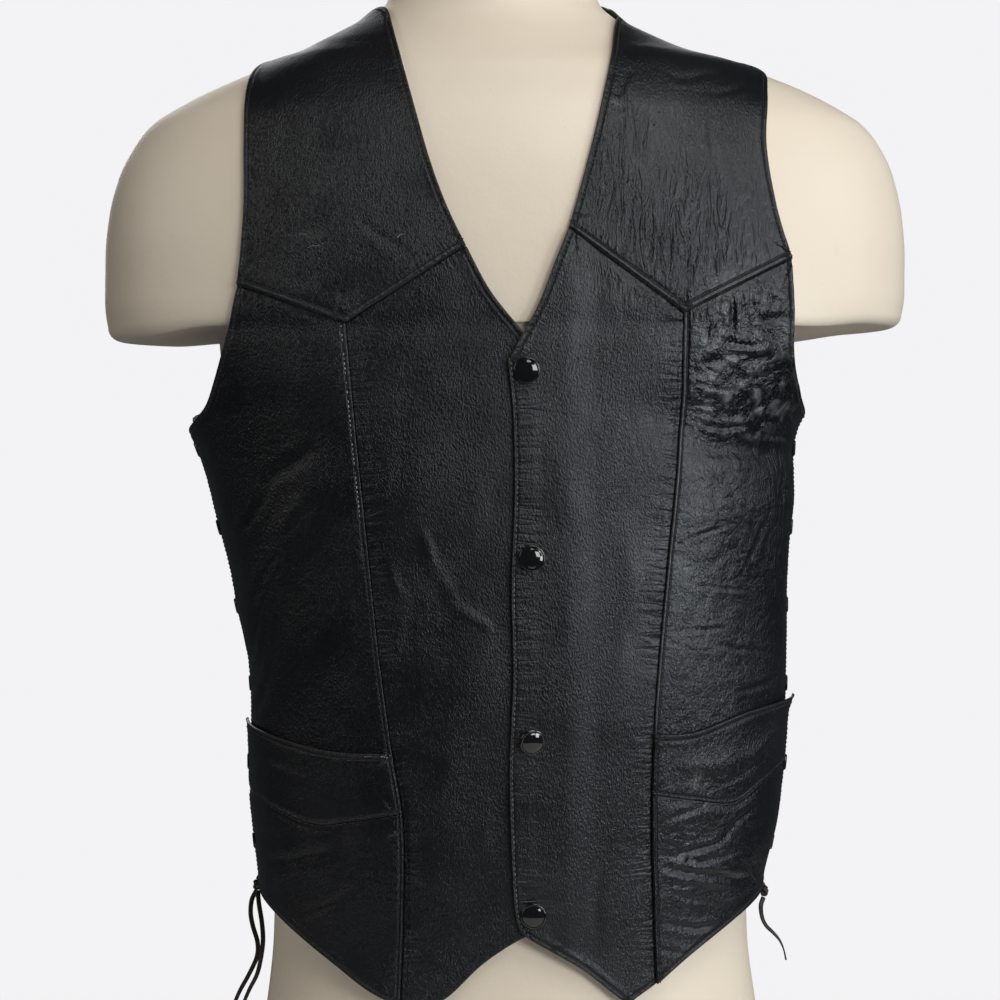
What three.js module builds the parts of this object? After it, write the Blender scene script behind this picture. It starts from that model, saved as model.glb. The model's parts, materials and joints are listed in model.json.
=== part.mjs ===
// A side-laced leather vest with four snaps, on a headless torso form that stands on its base.
// Millimetres. +Z is up, the wearer's front faces -Y and the wearer's left is +X.
// The origin is the middle of the form's flat base.

import * as THREE from 'three';

// Driving sizes
const wall = 1.8;                         // leather, with its turned edge
const restGap = 1;                        // from the form's skin to the inside of the leather
const layerGap = 0.5;                     // between leather that lies on leather
const seamInset = 0.22;                   // each piece stops this far short of its seam line
const outerFace = restGap + wall;
const overlapFace = outerFace + layerGap; // inner face of what lies on a panel
const cutLevel = 552;                     // flat undersides of the form's shoulder caps
const shoulderTip = 716;                  // height of the outer end of the shoulder seam
const neckPoint = { right: 751, left: 747 };
const snap = { radius: 7.6, rise: 3.6, sides: 16 };
const eyelet = { outer: 5, hole: 2.7, rise: 1.2, sides: 10, inset: 10 };
const lace = {
  radius: 1.3, heldSides: 6, freeSides: 8,
  underEdge: -1.8, lowCrossing: -3.6, highCrossing: -0.2,  // heights over the form's side of the leather
  gapHeight: 17, apart: 1.6, knotGap: 0.3,                 // where the two strands come down to the knot
};
const sideEdge = { front: -8, back: 10 }; // depth at which the side edges of front and back stop
const backCorner = { right: { y: 24, level: 504 }, left: { y: 32, level: 512 } };  // under the arms
const eyeletTop = 482;
const eyeletStep = 48;
const eyeletCount = 6;
const knotRadius = 4;
const seatGap = 0.5;                      // under a snap or an eyelet

// Cells along each stretch that two pieces share, so that their points meet at the seam
const cells = {
  shoulder: 5, yokeOut: 10, yokeIn: 6, neckLow: 4, armLow: 5, yokeDown: 11, armBack: 10,
  body: 14, band: 2, skirt: 4, tipOut: 2, hemIn: 8, backSide: 10, backAcross: 24, formRound: 40,
};

// Section tables
// level: height of the section. shift: its middle, towards the wearer's left. half: half its width.
// front, back: depth before and behind the side line. power: 2 is an ellipse, more is squarer.
const columns = ['level', 'shift', 'half', 'front', 'back', 'power'];
const table = (...lines) =>
  lines.map((line) => Object.fromEntries(columns.map((name, i) => [name, line[i]])));

// The form below its shoulder caps
const bodyRows = table(
  [0, 0, 163, 102, 111, 2.3],
  [45, 0, 165, 104, 113, 2.3],
  [95, 1, 159, 104, 111, 2.3],
  [140, 1.5, 151, 104, 106, 2.3],
  [185, 1, 146, 104.5, 101, 2.3],
  [240, 1, 145, 106, 96, 2.3],
  [300, 0, 148, 109, 93, 2.3],
  [360, -0.5, 151.5, 113, 93, 2.35],
  [420, -2, 162, 117, 97, 2.35],
  [480, -3, 169, 120, 103, 2.35],
  [520, -3, 173, 121.5, 108, 2.3],
  [cutLevel, -3, 176, 122, 112, 2.25],
);

// The form from the cut of its shoulder caps to the top of its neck
const capRows = table(
  [cutLevel, -2.5, 240, 122.8, 113.6, 2.15],
  [560, -2.5, 245, 123, 114.5, 2.15],
  [575, -2.5, 247, 122.5, 115.5, 2.12],
  [600, -2.3, 247, 120.5, 117, 2.1],
  [625, -2, 245, 117, 117, 2.07],
  [650, -1.5, 239, 112, 116, 2.03],
  [665, -1, 232, 107.5, 114.5, 2],
  [680, -1, 221, 102, 112.5, 2],
  [690, -1, 206, 97, 110.5, 2],
  [700, -1, 187, 91, 108, 2],
  [710, -2, 163, 85, 105, 2],
  [716, -5, 145.5, 80, 102, 2],
  [722, -8, 124.5, 75, 98, 2],
  [728, -9.5, 110, 70, 94, 2],
  [735, -9.5, 95.5, 64, 89, 2],
  [741, -9.5, 84, 60, 85, 2],
  [747, -10, 76, 57, 81, 2],
  [754, -10, 68, 54.5, 77, 2],
  [765, -10, 63, 52, 73, 2],
  [780, -10, 61.5, 50, 69, 2],
  [800, -10, 61, 49.5, 67, 2],
  [825, -10, 61, 49.5, 67, 2],
);

// The leather where it hangs clear of the form, below the shoulder caps
const hangRows = table(
  [140, 1.5, 155, 107, 109, 2.35],
  [185, 1, 153, 107.8, 105.5, 2.35],
  [212, 1.2, 150, 109.8, 104, 2.35],
  [240, 2, 153.5, 111.5, 102.5, 2.35],
  [270, 4, 158.3, 113.5, 101.5, 2.4],
  [300, 5.5, 160.3, 115.5, 101, 2.4],
  [330, 6, 161.5, 117.5, 101, 2.4],
  [360, 4.8, 163.2, 118.8, 101.5, 2.4],
  [400, 0.8, 167.6, 120.6, 103, 2.4],
  [440, -3.1, 174.2, 122.3, 105, 2.4],
  [470, -5.8, 179, 123.2, 107.5, 2.4],
  [500, -9.6, 187, 123.6, 110, 2.35],
  [520, -8.4, 205, 123.6, 111.5, 2.3],
  [540, -4, 231, 123.4, 113, 2.2],
);

// Large soft folds of the fronts and the back: a ridge, or a trough where depth is below zero
const foldRows = [
  { face: 'front', x: 138, level: 516, tilt: 4, length: 44, width: 13, depth: 2.4 },
  { face: 'front', x: 140, level: 482, tilt: -5, length: 46, width: 12, depth: -2.2 },
  { face: 'front', x: 136, level: 446, tilt: 8, length: 40, width: 14, depth: 1.8 },
  { face: 'front', x: 132, level: 240, tilt: 24, length: 48, width: 13, depth: 2 },
  { face: 'front', x: -136, level: 418, tilt: 58, length: 60, width: 13, depth: 2.6 },
  { face: 'front', x: -128, level: 356, tilt: 66, length: 52, width: 12, depth: 2.2 },
  { face: 'front', x: -60, level: 420, tilt: 84, length: 70, width: 14, depth: 1.4 },
  { face: 'front', x: 92, level: 712, tilt: -24, length: 30, width: 12, depth: 0.8 },
  { face: 'back', x: 112, level: 688, tilt: -14, length: 74, width: 24, depth: 2.5 },
  { face: 'back', x: -122, level: 686, tilt: 14, length: 64, width: 22, depth: 1.9 },
  { face: 'back', x: 152, level: 563, tilt: 0, length: 30, width: 22, depth: 1.4 },
  { face: 'back', x: -154, level: 561, tilt: 0, length: 30, width: 22, depth: 1 },
  { face: 'front', x: -154, level: 561, tilt: 0, length: 26, width: 20, depth: 0.6 },
  { face: 'back', x: 56, level: 762, tilt: -62, length: 20, width: 14, depth: 5 },
  { face: 'back', x: 96, level: 470, tilt: -52, length: 62, width: 14, depth: 2.4 },
  { face: 'back', x: -102, level: 452, tilt: 50, length: 66, width: 14, depth: 2.6 },
  { face: 'back', x: 38, level: 300, tilt: 78, length: 70, width: 15, depth: 2 },
  { face: 'back', x: -52, level: 282, tilt: -74, length: 60, width: 14, depth: 1.8 },
];

const radians = THREE.MathUtils.degToRad;

// A column of a table as a smooth function of level that never overshoots its rows
function smoothColumn(rows, name) {
  const last = rows.length - 1;
  const rise = (i) => (rows[i + 1][name] - rows[i][name]) / (rows[i + 1].level - rows[i].level);
  const tangents = rows.map((row, i) => {
    if (i === 0) return rise(0);
    if (i === last) return rise(last - 1);
    const before = rise(i - 1);
    const after = rise(i);
    return before * after <= 0 ? 0 : (2 * before * after) / (before + after);
  });
  return (level) => {
    const inside = THREE.MathUtils.clamp(level, rows[0].level, rows[last].level);
    const found = rows.findIndex((row) => row.level > inside);
    const i = found < 0 ? last - 1 : found - 1;
    const span = rows[i + 1].level - rows[i].level;
    const t = (inside - rows[i].level) / span;
    const left = (1 + 2 * t) * (1 - t) ** 2 * rows[i][name] + t * (1 - t) ** 2 * span * tangents[i];
    const right = t * t * (3 - 2 * t) * rows[i + 1][name] - t * t * (1 - t) * span * tangents[i + 1];
    return left + right;
  };
}

// A torso surface from a table. Angle 0 is the front middle and 90 degrees the wearer's left side.
function torso(rows) {
  const smooth = Object.fromEntries(columns.slice(1).map((name) => [name, smoothColumn(rows, name)]));
  const section = (level) =>
    Object.fromEntries(Object.entries(smooth).map(([name, value]) => [name, value(level)]));
  const point = (angle, level) => {
    const { shift, half, front, back, power } = section(level);
    const bend = (value) => Math.sign(value) * Math.abs(value) ** (2 / power);
    const depth = Math.cos(angle) > 0 ? front : back;
    return new THREE.Vector3(shift + half * bend(Math.sin(angle)), -depth * bend(Math.cos(angle)), level);
  };
  const normal = (angle, level) => {
    const around = point(angle + 0.01, level).sub(point(angle - 0.01, level));
    const upward = point(angle, level + 0.5).sub(point(angle, level - 0.5));
    return around.cross(upward).normalize();
  };
  return { section, point, normal };
}

const drape = torso([...hangRows, ...capRows]);

// How far the folds move the leather out at a place
function foldDepth(angle, level) {
  const { x } = drape.point(angle, level);
  const face = Math.cos(angle) > 0 ? 'front' : 'back';
  const near = foldRows.filter((fold) => fold.face === face);
  return near.reduce((sum, fold) => {
    const tilt = radians(fold.tilt);
    const dx = x - fold.x;
    const dz = level - fold.level;
    const along = (dx * Math.cos(tilt) + dz * Math.sin(tilt)) / fold.length;
    const across = (dz * Math.cos(tilt) - dx * Math.sin(tilt)) / fold.width;
    return sum + fold.depth * Math.exp(-along * along - across * across);
  }, 0);
}

// A point of the leather at an offset from the form's side of it
function leatherPoint([angle, level], offset) {
  const away = offset + foldDepth(angle, level);
  return drape.point(angle, level).addScaledVector(drape.normal(angle, level), away);
}

// Places on the leather, as [angle, level]: by x as seen from the front or from behind, by turn, or
// by the depth y on the wearer's right (side -1) or left (side 1)
function frontAt(x, level) {
  const { shift, half, power } = drape.section(level);
  const share = THREE.MathUtils.clamp((x - shift) / (half + outerFace), -1, 1);
  return [Math.asin(Math.sign(share) * Math.abs(share) ** (power / 2)), level];
}

function backAt(x, level) {
  return [Math.PI - frontAt(x, level)[0], level];
}

function turned(degrees, level) {
  return [radians(degrees), level];
}

function sideAt(side, y, level) {
  const { front, back, power } = drape.section(level);
  const turn = Math.acos((Math.abs(y) / (y < 0 ? front : back)) ** (power / 2));
  if (y < 0) return [side * turn, level];
  return [Math.PI - side * turn, level];
}

// How far to the wearer's left a place is seen, the other way round from frontAt and backAt
function seenX([angle, level]) {
  const { shift, half, power } = drape.section(level);
  const turn = Math.sin(angle);
  return shift + (half + outerFace) * Math.sign(turn) * Math.abs(turn) ** (2 / power);
}

// A line through closely set places, by its share of the length on the leather
const samples = 96;

function byLength(spots) {
  const reach = [0];
  for (let i = 1; i <= samples; i++) {
    const step = drape.point(...spots[i]).distanceTo(drape.point(...spots[i - 1]));
    reach.push(reach[i - 1] + step);
  }
  return (share) => {
    const target = share * reach[samples];
    const found = reach.findIndex((length) => length >= target);
    const i = Math.max(1, found < 0 ? samples : found);
    const t = (target - reach[i - 1]) / (reach[i] - reach[i - 1]);
    return spots[i].map((value, k) => THREE.MathUtils.lerp(spots[i - 1][k], value, t));
  };
}

const splinePoints = (pairs) =>
  new THREE.SplineCurve(pairs.map((pair) => new THREE.Vector2(...pair))).getPoints(samples);

// Smooth lines through places: smooth as seen from the front or from behind, or smooth in turn
const frontLine = (...places) =>
  byLength(splinePoints(places.map((place) => [seenX(place), place[1]])).map(({ x, y }) => frontAt(x, y)));
const backLine = (...places) =>
  byLength(splinePoints(places.map((place) => [seenX(place), place[1]])).map(({ x, y }) => backAt(x, y)));

function roundLine(...places) {
  const radius = 150;                     // makes an angle as long as the height it is drawn with
  const spots = splinePoints(places.map(([angle, level]) => [angle * radius, level]));
  return byLength(spots.map(({ x, y }) => [x / radius, y]));
}

const reversed = (curve) => (share) => curve(1 - share);

// The stretch of a falling line between two heights
function between(curve, fromLevel, toLevel) {
  const shareAt = (level) => {
    let low = 0;
    let high = 1;
    for (let i = 0; i < 40; i++) {
      const middle = (low + high) / 2;
      if (curve(middle)[1] > level) low = middle;
      else high = middle;
    }
    return low;
  };
  const start = shareAt(fromLevel);
  const end = shareAt(toLevel);
  return (share) => curve(THREE.MathUtils.lerp(start, end, share));
}

// Lines end to end, each with its number of cells
function chain(...links) {
  const total = links.reduce((sum, [count]) => sum + count, 0);
  return (share) => {
    let place = share * total;
    let k = 0;
    while (k < links.length - 1 && place > links[k][0]) {
      place -= links[k][0];
      k += 1;
    }
    return links[k][1](Math.min(1, place / links[k][0]));
  };
}

// Spacings of cells: even, closer at both ends, or closer at the start
const even = (share) => share;
const closeEnds = (share) => share - 0.08 * Math.sin(2 * Math.PI * share);
const closeStart = (share) => share ** 1.5;

// A grid of places between four lines: top and bottom run towards larger angles, the sides run down
function patch({ top, bottom, left, right, across, down, spread = even, fall = even }) {
  const grid = [];
  for (let j = 0; j <= down; j++) {
    const v = fall(j / down);
    const row = [];
    for (let i = 0; i <= across; i++) {
      const u = spread(i / across);
      row.push([0, 1].map((k) => {
        const edges = (1 - v) * top(u)[k] + v * bottom(u)[k] + (1 - u) * left(v)[k] + u * right(v)[k];
        const upper = (1 - v) * ((1 - u) * top(0)[k] + u * top(1)[k]);
        const lower = v * ((1 - u) * bottom(0)[k] + u * bottom(1)[k]);
        return edges - upper - lower;
      }));
    }
    grid.push(row);
  }
  return grid;
}

const stacked = (...grids) => grids.flatMap((grid, k) => (k ? grid.slice(1) : grid));

// Draws the outer places of a grid in, so that the piece stops short of its seams
function inset(grid) {
  const moved = (place, inner) => {
    const share = seamInset / drape.point(...place).distanceTo(drape.point(...inner));
    return place.map((value, k) => THREE.MathUtils.lerp(value, inner[k], share));
  };
  const last = grid.length - 1;
  const rows = grid.map((row, j) => {
    if (j === 0) return row.map((place, i) => moved(place, grid[1][i]));
    if (j === last) return row.map((place, i) => moved(place, grid[last - 1][i]));
    return row;
  });
  return rows.map((row) => {
    const end = row.length - 1;
    return row.map((place, i) => {
      if (i === 0) return moved(place, row[1]);
      if (i === end) return moved(place, row[end - 1]);
      return place;
    });
  });
}

// A closed wall over a grid, from its inner face to its outer one
function leatherWall(grid, inner, raise = () => 0) {
  const places = inset(grid);
  const rows = places.length;
  const width = places[0].length;
  const positions = [];
  for (const offset of [inner + wall, inner]) {
    for (const place of places.flat()) {
      positions.push(...leatherPoint(place, offset + raise(place)).toArray());
    }
  }
  const outside = (i, j) => j * width + i;
  const inside = (i, j) => rows * width + outside(i, j);
  const index = [];
  const quad = (a, b, c, d) => index.push(a, b, c, a, c, d);
  for (let j = 0; j < rows - 1; j++) {
    for (let i = 0; i < width - 1; i++) {
      quad(outside(i, j), outside(i, j + 1), outside(i + 1, j + 1), outside(i + 1, j));
      quad(inside(i, j), inside(i + 1, j), inside(i + 1, j + 1), inside(i, j + 1));
    }
  }
  for (let i = 0; i < width - 1; i++) {
    quad(outside(i, 0), outside(i + 1, 0), inside(i + 1, 0), inside(i, 0));
    const low = rows - 1;
    quad(outside(i + 1, low), outside(i, low), inside(i, low), inside(i + 1, low));
  }
  for (let j = 0; j < rows - 1; j++) {
    quad(outside(0, j + 1), outside(0, j), inside(0, j), inside(0, j + 1));
    const end = width - 1;
    quad(outside(end, j), outside(end, j + 1), inside(end, j + 1), inside(end, j));
  }
  return closedGeometry(positions, index);
}

function closedGeometry(positions, index) {
  const geometry = new THREE.BufferGeometry();
  geometry.setAttribute('position', new THREE.Float32BufferAttribute(positions, 3));
  geometry.setIndex(index);
  geometry.computeVertexNormals();
  return geometry;
}

// The torso form: one skin through the rings of both tables, with the flat cut between them
function formGeometry() {
  const lowLevels = [0, 20, 45, 70, 95, 118, 140, 165, 190, 240, 300, 360, 420, 480, 520, cutLevel];
  const highLevels = [cutLevel, 560, 575, 600, 625, 650, 665, 680, 690, 700, 706, 712, 717, 722, 728,
    735, 741, 747, 754, 765, 780, 800, 825];
  const body = torso(bodyRows);
  const caps = torso(capRows);
  const ring = (surface, level) => Array.from({ length: cells.formRound }, (_, i) =>
    surface.point((i / cells.formRound) * 2 * Math.PI, level));
  const rings = [
    ...lowLevels.map((level) => ring(body, level)),
    ...highLevels.map((level) => ring(caps, level)),
  ];
  const positions = rings.flat().flatMap((point) => point.toArray());
  const index = [];
  const count = cells.formRound;
  for (let j = 0; j < rings.length - 1; j++) {
    for (let i = 0; i < count; i++) {
      const next = (i + 1) % count;
      index.push(j * count + i, j * count + next, (j + 1) * count + next);
      index.push(j * count + i, (j + 1) * count + next, (j + 1) * count + i);
    }
  }
  const low = positions.length / 3;
  const top = highLevels[highLevels.length - 1];
  positions.push(0, 0, 0, 0, 0, top);
  const lastRing = (rings.length - 1) * count;
  for (let i = 0; i < count; i++) {
    const next = (i + 1) % count;
    index.push(low, next, i);
    index.push(low + 1, lastRing + i, lastRing + next);
  }
  return closedGeometry(positions, index);
}

// Seam lines and edges, on the wearer's right and left

const seams = {
  right: {
    shoulder: roundLine(turned(-90, neckPoint.right), turned(-90, shoulderTip)),
    neckHigh: frontLine(turned(-90, neckPoint.right), frontAt(-75, 747), frontAt(-71, 734),
      frontAt(-64, 709), frontAt(-55, 677), frontAt(-46, 646), frontAt(-36, 619), frontAt(-25, 596)),
    neckLow: frontLine(frontAt(-25, 596), frontAt(-11, 570), frontAt(8, 546), frontAt(20, 527)),
    yokeIn: frontLine(frontAt(-95, 552), frontAt(-25, 596)),
    yokeOut: frontLine(frontAt(-159, 575), frontAt(-95, 552)),
    armHigh: frontLine(turned(-90, shoulderTip), frontAt(-157, 705), frontAt(-158, 692), frontAt(-157, 660),
      frontAt(-156, 620), frontAt(-159, 575)),
    armLow: frontLine(frontAt(-159, 575), frontAt(-166, 545), frontAt(-178, 512), frontAt(-188, 500),
      sideAt(-1, sideEdge.front, 494)),
    princess: frontLine(frontAt(-95, 552), frontAt(-88, 480), frontAt(-81, 412), frontAt(-76, 362),
      frontAt(-69, 308), frontAt(-62, 262), frontAt(-62, 210), frontAt(-64, 156)),
    side: roundLine(sideAt(-1, sideEdge.front, 494), sideAt(-1, sideEdge.front, 420),
      sideAt(-1, sideEdge.front, 350), sideAt(-1, sideEdge.front, 280), sideAt(-1, sideEdge.front, 212)),
    pocketTop: [frontAt(-126, 308), frontAt(-100, 304)],
    bandSeam: [frontAt(-117, 261), frontAt(-94, 263)],
    pocketLevels: { side: [316, 274], princess: [304, 269] },
    hemOut: frontLine(sideAt(-1, sideEdge.front, 212), frontAt(-140, 204), frontAt(-103, 179),
      frontAt(-83, 165), frontAt(-64, 156)),
    tip: frontLine(frontAt(-64, 156), frontAt(-54, 150)),
    hemIn: frontLine(frontAt(-54, 150), frontAt(-35, 163), frontAt(-15, 182), frontAt(8, 197),
      frontAt(24, 201)),
    front: frontLine(frontAt(20, 527), frontAt(27, 495), frontAt(28, 350), frontAt(27, 230),
      frontAt(24, 201)),
    backArm: backLine(turned(270, shoulderTip), backAt(-158, 700), backAt(-152, 650), backAt(-153, 600),
      backAt(-162, 555), backAt(-174, 524), sideAt(-1, backCorner.right.y, backCorner.right.level)),
    backSide: roundLine(sideAt(-1, backCorner.right.y, backCorner.right.level),
      sideAt(-1, sideEdge.back, 488), sideAt(-1, sideEdge.back, 430),
      sideAt(-1, sideEdge.back, 350), sideAt(-1, sideEdge.back, 280), sideAt(-1, sideEdge.back, 210)),
  },
  left: {
    shoulder: roundLine(turned(90, neckPoint.left), turned(90, shoulderTip)),
    neckHigh: frontLine(turned(90, neckPoint.left), frontAt(65, 735), frontAt(61, 713), frontAt(56, 690),
      frontAt(49.5, 662), frontAt(41.3, 631), frontAt(34, 606)),
    neckLow: frontLine(frontAt(34, 606), frontAt(26, 586), frontAt(17, 563), frontAt(7, 544),
      frontAt(-1, 529)),
    yokeIn: frontLine(frontAt(34, 606), frontAt(101, 558)),
    yokeOut: frontLine(frontAt(101, 558), frontAt(166, 591)),
    armHigh: frontLine(turned(90, shoulderTip), frontAt(156, 706), frontAt(155, 690), frontAt(152, 658),
      frontAt(157, 622), frontAt(166, 591)),
    armLow: frontLine(frontAt(166, 591), frontAt(167.5, 562), frontAt(167.8, 537), frontAt(173.5, 516),
      sideAt(1, sideEdge.front, 504)),
    princess: frontLine(frontAt(101, 558), frontAt(99, 490), frontAt(93, 425), frontAt(87, 360),
      frontAt(84, 315), frontAt(83, 270), frontAt(84, 220), frontAt(86, 168)),
    side: roundLine(sideAt(1, sideEdge.front, 504), sideAt(1, sideEdge.front, 430),
      sideAt(1, sideEdge.front, 350), sideAt(1, sideEdge.front, 280), sideAt(1, sideEdge.front, 213)),
    pocketTop: [frontAt(108, 316), frontAt(139, 326)],
    bandSeam: [frontAt(107, 276), frontAt(131, 273), frontAt(149, 283)],
    pocketLevels: { side: [331, 293], princess: [315, 280] },
    hemOut: frontLine(frontAt(86, 168), frontAt(106, 184), frontAt(129, 199),
      sideAt(1, sideEdge.front, 213)),
    tip: frontLine(frontAt(69, 157), frontAt(86, 168)),
    hemIn: frontLine(frontAt(10, 198), frontAt(25, 189), frontAt(43, 178), frontAt(59, 165),
      frontAt(69, 157)),
    front: frontLine(frontAt(-1, 529), frontAt(2, 500), frontAt(3, 455), frontAt(1, 400), frontAt(2, 350),
      frontAt(0, 290), frontAt(3, 215), frontAt(10, 198)),
    backArm: backLine(turned(90, shoulderTip), backAt(158, 700), backAt(152, 650), backAt(153, 600),
      backAt(160, 560), backAt(171, 532), sideAt(1, backCorner.left.y, backCorner.left.level)),
    backSide: roundLine(sideAt(1, backCorner.left.y, backCorner.left.level),
      sideAt(1, sideEdge.back, 490), sideAt(1, sideEdge.back, 430),
      sideAt(1, sideEdge.back, 350), sideAt(1, sideEdge.back, 280), sideAt(1, sideEdge.back, 210)),
  },
};

const backNeck = roundLine(turned(90, neckPoint.left), turned(118, 762), backAt(8, 772), backAt(-24, 772),
  turned(242, 765), turned(270, neckPoint.right));
const backHem = roundLine(sideAt(1, sideEdge.back, 210), backAt(70, 203), backAt(-70, 203),
  sideAt(-1, sideEdge.back, 210));

// The left front lies on the right one along the snaps
function overlapRaise([angle, level]) {
  const { x } = drape.point(angle, level);
  return (overlapFace - restGap) * (1 - THREE.MathUtils.smoothstep(x, 31, 52));
}

// Grids of the fronts. On the right the angle grows from the side to the snaps, on the left the other way.
function yokeGrid(name) {
  const edge = seams[name];
  const isRight = name === 'right';
  const across = cells.yokeOut + cells.yokeIn;
  const outer = [cells.yokeOut, edge.yokeOut];
  const inner = [cells.yokeIn, edge.yokeIn];
  return patch({
    top: isRight ? reversed(edge.shoulder) : edge.shoulder,
    bottom: isRight ? chain(outer, inner) : chain(inner, outer),
    left: isRight ? edge.armHigh : edge.neckHigh,
    right: isRight ? edge.neckHigh : edge.armHigh,
    across,
    down: cells.yokeDown,
    fall: closeStart,
  });
}

function centreGrid(name) {
  const edge = seams[name];
  const isRight = name === 'right';
  const across = cells.yokeIn + cells.neckLow;
  const down = cells.body + cells.band + cells.skirt;
  const neck = [cells.neckLow, isRight ? edge.neckLow : reversed(edge.neckLow)];
  const seam = [cells.yokeIn, edge.yokeIn];
  const tip = [cells.tipOut, edge.tip];
  const hem = [cells.hemIn, edge.hemIn];
  return patch({
    top: isRight ? chain(seam, neck) : chain(neck, seam),
    bottom: isRight ? chain(tip, hem) : chain(hem, tip),
    left: isRight ? seamDown(name) : edge.front,
    right: isRight ? edge.front : seamDown(name),
    across,
    down,
  });
}

// The princess seam in the cells of the side panel that it joins
function seamDown(name) {
  const { princess, pocketLevels } = seams[name];
  const start = princess(0)[1];
  const end = princess(1)[1];
  const [high, low] = pocketLevels.princess;
  return chain(
    [cells.body, between(princess, start, high)],
    [cells.band, between(princess, high, low)],
    [cells.skirt, between(princess, low, end)],
  );
}

function sideGrids(name) {
  const edge = seams[name];
  const isRight = name === 'right';
  const { pocketLevels } = edge;
  const seamPlace = (k) => between(edge.princess, pocketLevels.princess[k], 0)(0);
  const sidePlace = (k) => sideAt(isRight ? -1 : 1, sideEdge.front, pocketLevels.side[k]);
  const crossing = (places, k) => (isRight
    ? frontLine(sidePlace(k), ...places, seamPlace(k))
    : frontLine(seamPlace(k), ...places, sidePlace(k)));
  const pocketTop = crossing(edge.pocketTop, 0);
  const bandSeam = crossing(edge.bandSeam, 1);
  const crossings = [edge.yokeOut, pocketTop, bandSeam, edge.hemOut];
  const seamLevels = [edge.princess(0)[1], ...pocketLevels.princess, edge.princess(1)[1]];
  const sideLevels = [edge.side(0)[1], ...pocketLevels.side, edge.side(1)[1]];
  const counts = [cells.body, cells.band, cells.skirt];
  return counts.map((down, k) => {
    const seam = between(edge.princess, seamLevels[k], seamLevels[k + 1]);
    const below = between(edge.side, sideLevels[k], sideLevels[k + 1]);
    const side = k > 0 ? below : chain(
      [cells.armLow, edge.armLow],
      [down - cells.armLow, (share) => below(closeStart(share))],
    );
    return patch({
      top: crossings[k],
      bottom: crossings[k + 1],
      left: isRight ? side : seam,
      right: isRight ? seam : side,
      across: cells.yokeOut,
      down,
    });
  });
}

function backGrid() {
  const { right, left } = seams;
  const down = cells.shoulder + cells.armBack + cells.backSide;
  const edgeDown = (edge) => chain(
    [cells.shoulder, edge.shoulder],
    [cells.armBack, (share) => edge.backArm(closeStart(share))],
    [cells.backSide, edge.backSide],
  );
  const rightDown = edgeDown(right);
  return patch({
    top: backNeck,
    bottom: backHem,
    left: edgeDown(left),
    right: (share) => {
      const [angle, level] = rightDown(share);
      return [angle < 0 ? angle + 2 * Math.PI : angle, level];
    },
    across: cells.backAcross,
    down,
    spread: closeEnds,
  });
}

// Round pieces, made along +Z and turned to stand on the leather
function placed(geometry, place, offset) {
  const point = leatherPoint(place, offset);
  const out = drape.normal(...place);
  geometry.rotateX(Math.PI / 2);
  geometry.applyQuaternion(new THREE.Quaternion().setFromUnitVectors(new THREE.Vector3(0, 0, 1), out));
  geometry.translate(point.x, point.y, point.z);
  return geometry;
}

function snapGeometry(place) {
  const { radius, rise, sides } = snap;
  const profile = [[0, 0], [radius, 0], [radius, 0.28 * rise], [0.9 * radius, 0.6 * rise],
    [0.58 * radius, 0.9 * rise], [0, rise]];
  const points = profile.map(([r, h]) => new THREE.Vector2(r, h));
  return placed(new THREE.LatheGeometry(points, sides), place, overlapFace + wall + seatGap);
}

function eyeletGeometry(side, face, k) {
  const { outer, hole, rise, sides } = eyelet;
  const profile = [[hole, 0], [outer, 0], [outer - 0.8, rise], [hole, rise], [hole, 0]];
  const points = profile.map(([r, h]) => new THREE.Vector2(r, h));
  const offset = leatherFace(side, face, k) + seatGap;
  return placed(new THREE.LatheGeometry(points, sides), eyeletPlace(side, face, k), offset);
}

function knotGeometry(centre) {
  return new THREE.SphereGeometry(knotRadius, 10, 7).translate(...centre);
}

// A lace along a smooth path through points
function laceGeometry(points, sides, steps) {
  const section = new THREE.Shape(Array.from({ length: sides }, (_, i) => {
    const turn = (i / sides) * 2 * Math.PI;
    return new THREE.Vector2(lace.radius * Math.cos(turn), lace.radius * Math.sin(turn));
  }));
  const path = new THREE.CatmullRomCurve3(points.map((point) => new THREE.Vector3(...point)));
  return new THREE.ExtrudeGeometry(section, { steps, extrudePath: path, curveSegments: 1 });
}

const eyeletLevel = (k) => eyeletTop - k * eyeletStep;

function eyeletPlace(side, face, k) {
  const y = face === 'front' ? sideEdge.front - eyelet.inset : sideEdge.back + eyelet.inset;
  return sideAt(side, y, eyeletLevel(k));
}

// Outer face of the leather under an eyelet: the lowest ones of the front go through the pocket too
function leatherFace(side, face, k) {
  const { pocketLevels } = seams[side < 0 ? 'right' : 'left'];
  const onPocket = face === 'front' && eyeletLevel(k) < pocketLevels.side[0];
  return onPocket ? overlapFace + wall : outerFace;
}

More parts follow.
